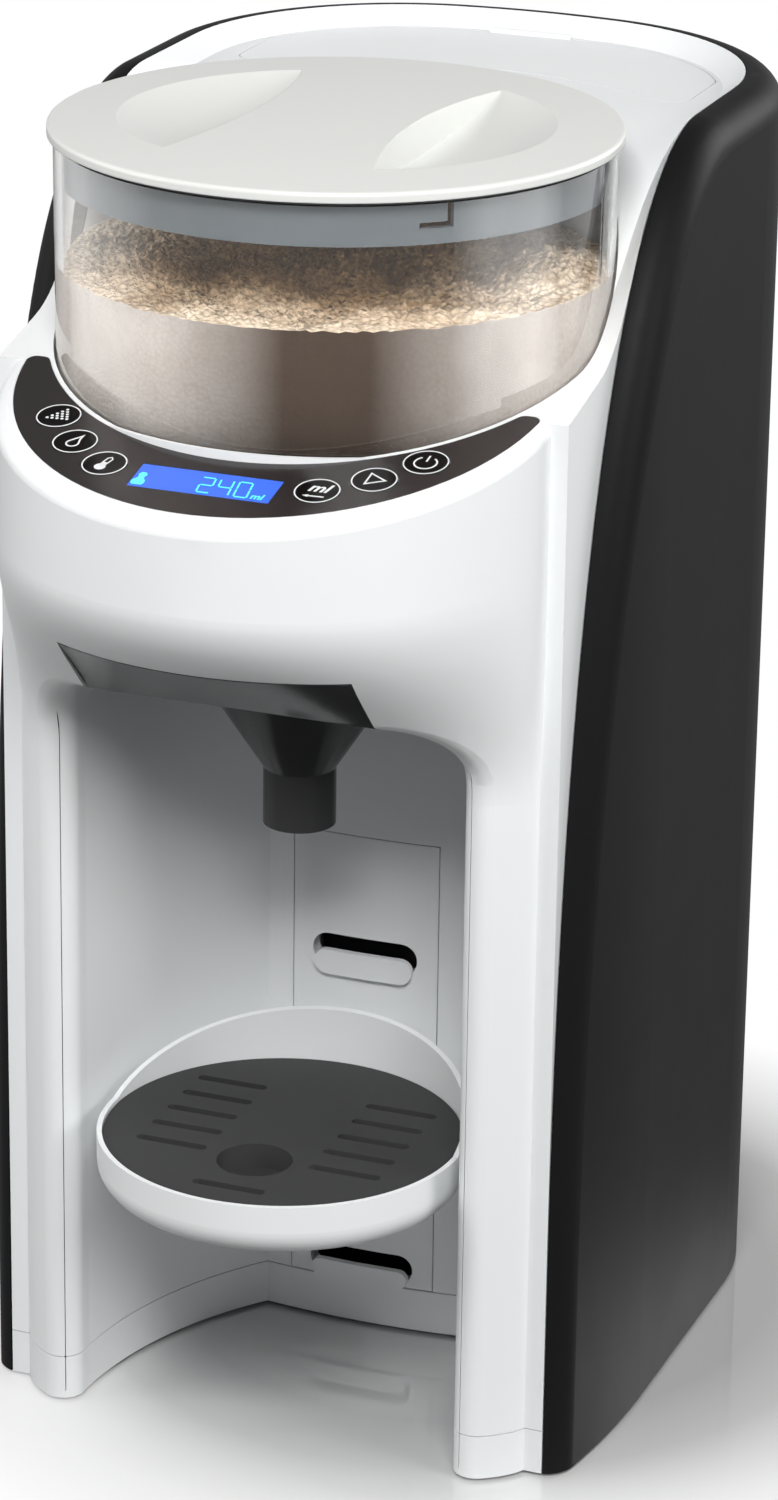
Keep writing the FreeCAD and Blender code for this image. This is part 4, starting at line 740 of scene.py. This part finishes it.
@dataclass
class Drawing:
    """Flat marks, drawn in millimetres and given a thin body."""

    bm: bmesh.types.BMesh = field(default_factory=bmesh.new)
    thickness: float = 0.08
    least_mitre: float = 0.35
    letter_weight: float = 0.02

    def fill(self, points: Sequence[Point2]) -> None:
        """Add a filled outline.

        Args:
            points: Its corners.
        """
        face = self.bm.faces.new([self.bm.verts.new((x, y, 0.0)) for x, y in points])
        if face.normal.z < 0:
            face.normal_flip()

    def stroke(self, points: Sequence[Point2], width: float, closed: bool = False) -> None:
        """Add a line of a given width with mitred corners.

        Args:
            points: Its points.
            width: Its width.
            closed: Join the last point to the first.
        """
        count = len(points)
        sides = []
        for i, (x, y) in enumerate(points):
            here = Vector((x, y))
            before = Vector(points[i - 1]) if i or closed else None
            after = Vector(points[(i + 1) % count]) if i < count - 1 or closed else None
            d0 = (here - before).normalized() if before is not None else None
            d1 = (after - here).normalized() if after is not None else None
            d0, d1 = d0 or d1, d1 or d0
            across = Vector((-(d0 + d1).y, (d0 + d1).x)).normalized()
            reach = width / 2 / max(self.least_mitre, across.dot(Vector((-d0.y, d0.x))))
            sides.append((here + across * reach, here - across * reach))
        rows = [(self.bm.verts.new((a.x, a.y, 0)), self.bm.verts.new((b.x, b.y, 0))) for a, b in sides]
        pairs = list(zip(rows, rows[1:])) + ([(rows[-1], rows[0])] if closed else [])
        for (a0, b0), (a1, b1) in pairs:
            self.bm.faces.new((a0, b0, b1, a1))

    def circle(self, x: float, y: float, r: float, width: float, segments: int = 48) -> None:
        """Add a ring."""
        turn = [math.tau * i / segments for i in range(segments)]
        self.stroke([(x + r * math.cos(a), y + r * math.sin(a)) for a in turn], width, True)

    def disc(self, x: float, y: float, r: float, segments: int = 24) -> None:
        """Add a filled circle."""
        turn = [math.tau * i / segments for i in range(segments)]
        self.fill([(x + r * math.cos(a), y + r * math.sin(a)) for a in turn])

    def text(self, words: str, size: float, x: float, y: float, shear: float = 0.0) -> None:
        """Add generic lettering, made a mesh before it is placed.

        Args:
            words: The letters.
            size: Height of the letters' body.
            x: Middle of the words.
            y: Baseline.
            shear: Slant.
        """
        curve = bpy.data.curves.new("letters", "FONT")
        curve.body, curve.size, curve.shear, curve.align_x = words, size, shear, "CENTER"
        curve.offset = self.letter_weight * size
        holder = bpy.data.objects.new("letters", curve)
        bpy.context.scene.collection.objects.link(holder)
        bpy.context.view_layer.update()
        mesh = bpy.data.meshes.new_from_object(holder)
        mesh.transform(Matrix.Translation((x, y, 0.0)))
        self.bm.from_mesh(mesh)
        bpy.data.objects.remove(holder)
        bpy.data.meshes.remove(mesh)

    def solid(self) -> bmesh.types.BMesh:
        """Scale to metres and give the marks their thickness.

        Returns:
            The mesh.
        """
        bmesh.ops.remove_doubles(self.bm, verts=self.bm.verts, dist=1e-4)
        grown = bmesh.ops.extrude_face_region(self.bm, geom=self.bm.faces[:])["geom"]
        raised = [v for v in grown if isinstance(v, bmesh.types.BMVert)]
        bmesh.ops.translate(self.bm, vec=(0, 0, self.thickness), verts=raised)
        bmesh.ops.recalc_face_normals(self.bm, faces=self.bm.faces)
        bmesh.ops.scale(self.bm, vec=(MM, MM, MM), verts=self.bm.verts)
        return self.bm


class Icon(Enum):
    """The plain pictograms, by the key that carries each."""

    POWDER = "button_powder"
    DROP = "button_drop"
    WARMTH = "button_temp"
    VOLUME = "button_volume"
    START = "button_start"
    POWER = "button_power"


@dataclass
class ButtonPrint:
    """Ring and pictogram on one key. All sizes are in millimetres."""

    face: PanelFace
    ring_r: float = 5.66
    ring_w: float = 0.36
    line_w: float = 0.44
    tilt: float = math.radians(-15.0)

    def build(self, icon: Icon) -> None:
        """Draw one key's print, which rides on the key.

        Args:
            icon: The pictogram.
        """
        art = Drawing()
        art.circle(0, 0, self.ring_r, self.ring_w)
        getattr(self, "draw_" + icon.name.lower())(art)
        bm = art.solid()
        self.face.placed(bm, self.face.face_of(icon.value))
        piece("print_" + icon.name.lower(), bm, Finishes.PRINT, icon.value)

    def tilted(self, points: Sequence[Point2]) -> Sequence[Point2]:
        """Points of an upright mark, tilted to the right."""
        c, s = math.cos(self.tilt), math.sin(self.tilt)
        return [(x * c - y * s, x * s + y * c) for x, y in points]

    def draw_powder(self, art: Drawing) -> None:
        """Draw a fan of small dots, one more in each column.

        Args:
            art: Drawing to add to.
        """
        along, across = Vector((0.862, 0.507)) * 1.3, Vector((-0.36, 0.93)) * 1.25
        for column in range(5):
            for row in range(column + 1):
                spot = along * (column - 2.3) + across * (row - column / 2)
                art.disc(spot.x, spot.y, 0.43, 10)

    def draw_drop(self, art: Drawing) -> None:
        """Draw the outline of a drop.

        Args:
            art: Drawing to add to.
        """
        r = 1.6
        arc = [math.radians(160 + 220 * i / 20) for i in range(21)]
        points = [(r * math.cos(a), -1.1 + r * math.sin(a)) for a in arc]
        art.stroke(self.tilted(points + [(0.55, 1.4), (0.25, 3.2), (-0.65, 1.2)]), self.line_w, True)

    def draw_warmth(self, art: Drawing) -> None:
        """Draw a thermometer, filled up to its middle.

        Args:
            art: Drawing to add to.
        """
        (x, y), = self.tilted([(0.0, -1.9)])
        art.disc(x, y, 1.5)
        art.fill(self.tilted([(-0.95, -1.2), (0.95, -1.2), (0.75, 0.5), (-0.75, 0.5)]))
        tube = [(-0.72, 0.2), (-0.72, 2.5), (0.0, 3.2), (0.72, 2.5), (0.72, 0.2)]
        art.stroke(self.tilted(tube), self.ring_w)

    def draw_volume(self, art: Drawing) -> None:
        """Draw the letters ml over a small arrow.

        Args:
            art: Drawing to add to.
        """
        art.text("ml", 5.4, 0.1, -0.4, 0.25)
        art.stroke([(2.7, -2.6), (-1.6, -2.8)], 0.45)
        art.fill([(-2.9, -2.8), (-1.4, -2.2), (-1.4, -3.4)])

    def draw_start(self, art: Drawing) -> None:
        """Draw the outline of a triangle."""
        art.stroke([(-1.7, -2.5), (-1.7, 2.8), (2.9, 0.1)], self.line_w, True)

    def draw_power(self, art: Drawing) -> None:
        """Draw an open ring with a bar.

        Args:
            art: Drawing to add to.
        """
        arc = [math.radians(125 + 290 * i / 30) for i in range(31)]
        art.stroke([(2.9 * math.cos(a), -0.3 + 2.9 * math.sin(a)) for a in arc], self.line_w)
        art.stroke([(0, 0.4), (0, 3.3)], self.line_w)


@dataclass
class Display:
    """The lit window with its digits. All sizes are in millimetres."""

    face: PanelFace
    digit_w: float = 3.5
    digit_h: float = 7.1
    pitch: float = 5.0
    first_x: float = -0.7
    foot_y: float = -4.4
    line_w: float = 0.46
    gap: float = 0.22
    slant: float = -0.12
    segments: Tuple[str, ...] = ("abged", "fgbc", "abcdef")
    unit_size: float = 3.4
    unit_x: float = 15.3
    bottle_at: Point2 = (-16.9, -4.6)
    bottle_half: Tuple[Point2, ...] = ((1.3, 0.0), (1.75, 0.7), (1.75, 1.9), (0.8, 3.3),
                                       (0.8, 4.2), (1.1, 4.4), (1.1, 5.1), (0.6, 5.9))

    def build(self) -> None:
        """Light the window and set the digits on it."""
        low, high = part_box("display_window")
        glow = GlowFinish("display_blue", (0.018, 0.055, 0.78), gloss=0.12, specular=0.2, relief=0.0,
                          edge=0.0, glow=1.0, centre=tuple((low + high) / 2), dark=(0.010, 0.030, 0.52),
                          reach=0.022)
        dress("display_window", glow)
        art = Drawing()
        for i, lit in enumerate(self.segments):
            self.digit(art, self.first_x + i * self.pitch, self.foot_y, lit)
        art.text("ml", self.unit_size, self.unit_x, self.foot_y, 0.1)
        self.bottle(art, *self.bottle_at)
        bm = art.solid()
        self.face.placed(bm, self.face.face_of("display_window"))
        piece("display_digits", bm, Finishes.DIGITS, Body.MACHINE.value)

    def digit(self, art: Drawing, x: float, y: float, lit: str) -> None:
        """Draw one digit of seven segments.

        Args:
            art: Drawing to add to.
            x: Left of the digit.
            y: Its foot.
            lit: Letters of the lit segments.
        """
        w, h = self.digit_w, self.digit_h
        ends = {"a": ((0, h), (w, h)), "b": ((w, h), (w, h / 2)), "c": ((w, h / 2), (w, 0)),
                "d": ((0, 0), (w, 0)), "e": ((0, h / 2), (0, 0)), "f": ((0, h), (0, h / 2)),
                "g": ((0, h / 2), (w, h / 2))}
        for name in lit:
            (x0, y0), (x1, y1) = ends[name]
            dx, dy = (self.gap if x1 != x0 else 0), (-self.gap if y1 != y0 else 0)
            a, b = (x0 + dx, y0 + dy), (x1 - dx, y1 - dy)
            art.stroke([(x + p + q * self.slant, y + q) for p, q in (a, b)], self.line_w)

    def bottle(self, art: Drawing, x: float, y: float) -> None:
        """Draw a small bottle with its foot's middle at x, y."""
        right = [(x + a, y + b) for a, b in self.bottle_half]
        art.fill(right + [(2 * x - a, b) for a, b in reversed(right)])


@dataclass
class ControlPanel:
    """Everything printed on the sloping panel."""

    face: PanelFace = field(default_factory=PanelFace)

    def build(self) -> None:
        """Dress the keys and the display."""
        prints = ButtonPrint(self.face)
        for icon in Icon:
            dress(icon.value, Finishes.CAP)
            prints.build(icon)
        Display(self.face).build()


# ------------------------------------------------------------------ small hardware
@dataclass
class Screws:
    """Cross-head screws that hold the base plate."""

    places: Tuple[Point2, ...] = ((62.0, 60.0), (-62.0, 60.0), (74.0, -6.0), (-74.0, -6.0), (0.0, 118.0))
    head_r: float = 3.4 * MM
    head_t: float = 0.7 * MM
    base_z: float = 1.0 * MM
    sunk: float = 0.1 * MM
    drive_rim: float = 1.4 * MM
    drive_depth: float = 0.4 * MM

    def build(self) -> None:
        """Set the screws in the underside."""
        bm = bmesh.new()
        for x, y in self.places:
            place = Matrix.Translation((x * MM, y * MM, self.base_z - self.head_t / 2 + self.sunk))
            bmesh.ops.create_cone(bm, cap_ends=True, segments=24, radius1=0.8 * self.head_r,
                                  radius2=self.head_r, depth=self.head_t, matrix=place)
        faces = [f for f in bm.faces if f.normal.z < -0.9]
        bmesh.ops.inset_individual(bm, faces=faces, thickness=self.drive_rim, depth=0.0)
        bmesh.ops.translate(bm, vec=(0, 0, self.drive_depth), verts=list({v for f in faces for v in f.verts}))
        piece("base_screws", bm, Finishes.STEEL, Body.MACHINE.value)


# ------------------------------------------------------------------ studio
@dataclass
class SoftBox:
    """One soft box: where it hangs, its size, its power, and what alone mirrors it."""

    name: str
    place: Tuple[float, float, float]
    size: Tuple[float, float]
    power: float
    mirrored_by: Tuple[str, ...] = ()
    fade_out: Span = (0.2, 0.5)     # from the middle, as shares of the width

    def hang(self, aim: Vector) -> None:
        """Hang it and turn it towards a point.

        Args:
            aim: The point that it faces.
        """
        data = bpy.data.lights.new(self.name, "AREA")
        data.shape, data.size, data.size_y, data.energy = "RECTANGLE", *self.size, self.power
        lamp = bpy.data.objects.new(self.name, data)
        lamp.location = self.place
        lamp.rotation_euler = (aim - Vector(self.place)).to_track_quat("-Z", "Y").to_euler()
        lamp.visible_camera = False
        if self.mirrored_by:
            lamp.visible_diffuse = False
            lamp.visible_transmission = False
            group = bpy.data.collections.new(self.name)
            for node in self.mirrored_by:
                group.objects.link(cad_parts[node])
            lamp.light_linking.receiver_collection = group
            self.fade(data)
        bpy.context.scene.collection.objects.link(lamp)

    def fade(self, data: bpy.types.AreaLight) -> None:
        """Fade the box out towards its left and right edges.

        Args:
            data: The lamp.
        """
        data.use_nodes = True
        tree = Tree(data.node_tree)
        across = tree.add("SeparateXYZ", Vector=tree.add("NewGeometry").outputs["Parametric"]).outputs["X"]
        away = tree.math("ABSOLUTE", tree.math("SUBTRACT", across, 0.5))
        glow = tree.add("Emission", Color=WHITE_LIGHT, Strength=tree.span(away, 1.0, 0.0, *self.fade_out))
        tree.show("OutputLight", glow.outputs[0])


@dataclass
class Studio:
    """Camera, lamps, world and floor."""

    aim: Vector = field(default_factory=lambda: Vector((0.0, -0.03, 0.2)))
    boxes: Tuple[SoftBox, ...] = (
        SoftBox("key", (0.50, -1.35, 1.50), (0.8, 0.6), 35.0),
        SoftBox("fill", (1.3, -0.35, 0.75), (0.5, 0.7), 8.0),
        SoftBox("side", (-1.2, -0.75, 0.7), (0.5, 0.7), 6.5),
        SoftBox("back", (-1.25, 0.05, 1.0), (0.6, 0.6), 4.0),
        SoftBox("rear", (0.9, 1.3, 0.8), (0.7, 0.9), 14.0),
        SoftBox("strip_left", (-0.62, -0.10, 0.10), (0.75, 0.22), 0.9, ("powder_container",)),
        SoftBox("strip_right", (0.66, 0.02, 0.10), (0.7, 0.22), 1.9, ("powder_container",)),
    )
    ambient: float = 0.05
    sky_glow: Span = (0.62, 0.2)        # what gloss sees low and high in the world
    sky_height: Span = (0.05, 0.5)

    eye: Tuple[float, float, float] = (0.4801, -1.2470, 0.6747)
    yaw: float = 20.83
    pitch: float = 20.49
    roll: float = 0.80
    lens: float = 124.06
    sensor: float = 36.0
    clip: Span = (0.05, 50.0)

    floor_half: float = 6.0
    # grey of the floor patch around the machine: painted shade
    patch_shade_tone: float = 0.66
    floor_bounce: float = 0.30
    patch_centre: Tuple[float, float, float] = (0.02, 0.04, 0.0)
    patch_reach: Tuple[float, float, float] = (0.14, 0.15, 1.0)
    mirror_fade: Span = (0.62, 1.05)    # of the patch's reach
    white_fade: Span = (0.8, 1.3)
    mirror_tone: float = 0.75
    mirror_rough: float = 0.04
    mirror_share: float = 0.55
    gloss_share: float = 0.25           # how much of the white floor gloss sees
    white_bounce: float = 0.2

    def build(self) -> None:
        """Set up the whole studio."""
        self.camera()
        self.world()
        self.floor()
        for lamp in self.boxes:
            lamp.hang(self.aim)
        bpy.context.scene.view_settings.view_transform = "Standard"

    def camera(self) -> None:
        """Aim the camera by yaw, pitch and roll."""
        data = bpy.data.cameras.new("camera")
        data.lens, data.sensor_width, data.sensor_fit = self.lens, self.sensor, "AUTO"
        data.clip_start, data.clip_end = self.clip
        cam = bpy.data.objects.new("camera", data)
        yaw, pitch, roll = (math.radians(a) for a in (self.yaw, self.pitch, self.roll))
        right = Vector((math.cos(yaw), math.sin(yaw), 0.0))
        ahead = Vector((-math.sin(yaw) * math.cos(pitch), math.cos(yaw) * math.cos(pitch), -math.sin(pitch)))
        up = right.cross(ahead)
        side = right * math.cos(roll) + up * math.sin(roll)
        top = up * math.cos(roll) - right * math.sin(roll)
        turn = Matrix((side, top, -ahead)).transposed()
        cam.matrix_world = Matrix.Translation(self.eye) @ turn.to_4x4()
        bpy.context.scene.collection.objects.link(cam)
        bpy.context.scene.camera = cam

    def world(self) -> None:
        """Make it white for the eye, dim for lighting, and darker overhead for reflections."""
        world = bpy.data.worlds.new("studio")
        bpy.context.scene.world = world
        world.use_nodes = True
        tree = Tree(world.node_tree)
        rays = tree.add("LightPath").outputs
        direction = tree.add("TexCoord").outputs["Generated"]
        height = tree.add("SeparateXYZ", Vector=direction).outputs["Z"]
        mirror = tree.span(height, *self.sky_glow, *self.sky_height)
        seen = tree.math("MAXIMUM", rays["Is Camera Ray"], rays["Is Transmission Ray"])
        level = tree.math("MAXIMUM", seen, tree.math("MULTIPLY", rays["Is Glossy Ray"], mirror))
        shown = tree.math("MAXIMUM", level, self.ambient)
        back = tree.add("Background", Color=WHITE_LIGHT, Strength=shown)
        tree.show("OutputWorld", back.outputs[0])

    def floor(self) -> None:
        """Lay a pale glossy floor that keeps the machine's reflection and shadow close by."""
        bm = bmesh.new()
        bmesh.ops.create_grid(bm, x_segments=1, y_segments=1, size=self.floor_half)
        mesh = bpy.data.meshes.new("floor")
        bm.to_mesh(mesh)
        bm.free()
        mesh.materials.append(self.floor_material())
        floor = bpy.data.objects.new("floor", mesh)
        bpy.context.scene.collection.objects.link(floor)

    def floor_material(self) -> bpy.types.Material:
        """Make the floor's finish: a grey glossy patch around the machine, painted shade under its real
        shadow and reflection, that fades to white.

        Returns:
            The material.
        """
        mat = bpy.data.materials.new("floor_gloss")
        mat.use_nodes = True
        tree = Tree(mat.node_tree)
        patch = tree.add("Mapping", vector_type="TEXTURE", Vector=tree.here(),
                         Location=self.patch_centre, Scale=self.patch_reach)
        length = tree.add("VectorMath", operation="LENGTH")
        tree.put(length.inputs[0], patch.outputs[0])
        away = length.outputs["Value"]
        rays = tree.add("LightPath").outputs
        straight = tree.math("MAXIMUM", rays["Is Camera Ray"], rays["Is Transmission Ray"])
        gloss = tree.math("MULTIPLY", rays["Is Glossy Ray"], self.gloss_share)
        seen = tree.math("MAXIMUM", straight, gloss)
        # the matte's grey near the machine is painted shade
        matte = tree.add("BsdfPrincipled", Roughness=0.5,
                         Base_Color=tree.mix(seen, (self.floor_bounce,) * 3, (self.patch_shade_tone,) * 3))
        mirror = tree.add("BsdfGlossy", Color=(self.mirror_tone,) * 3, Roughness=self.mirror_rough)
        near = tree.span(away, 1.0, 0.0, *self.mirror_fade)
        local = tree.add("MixShader", Fac=tree.math("MULTIPLY", near, self.mirror_share))
        tree.put(local.inputs[1], matte.outputs[0])
        tree.put(local.inputs[2], mirror.outputs[0])
        white = tree.add("Emission", Color=WHITE_LIGHT, Strength=tree.span(seen, self.white_bounce, 1.0))
        whole = tree.add("MixShader", Fac=tree.span(away, 0.0, 1.0, *self.white_fade))
        tree.put(whole.inputs[1], local.outputs[0])
        tree.put(whole.inputs[2], white.outputs[0])
        tree.show("OutputMaterial", whole.outputs[0])
        return mat


def main() -> None:
    """Dress the machine, add its loose pieces and set the studio up."""
    logging.basicConfig(level=logging.INFO, format="%(message)s")
    for node, finish in NODE_FINISH.items():
        dress(node, finish)
    Hopper().build()
    ControlPanel().build()
    Screws().build()
    Studio().build()


if __name__ == "__main__":
    main()
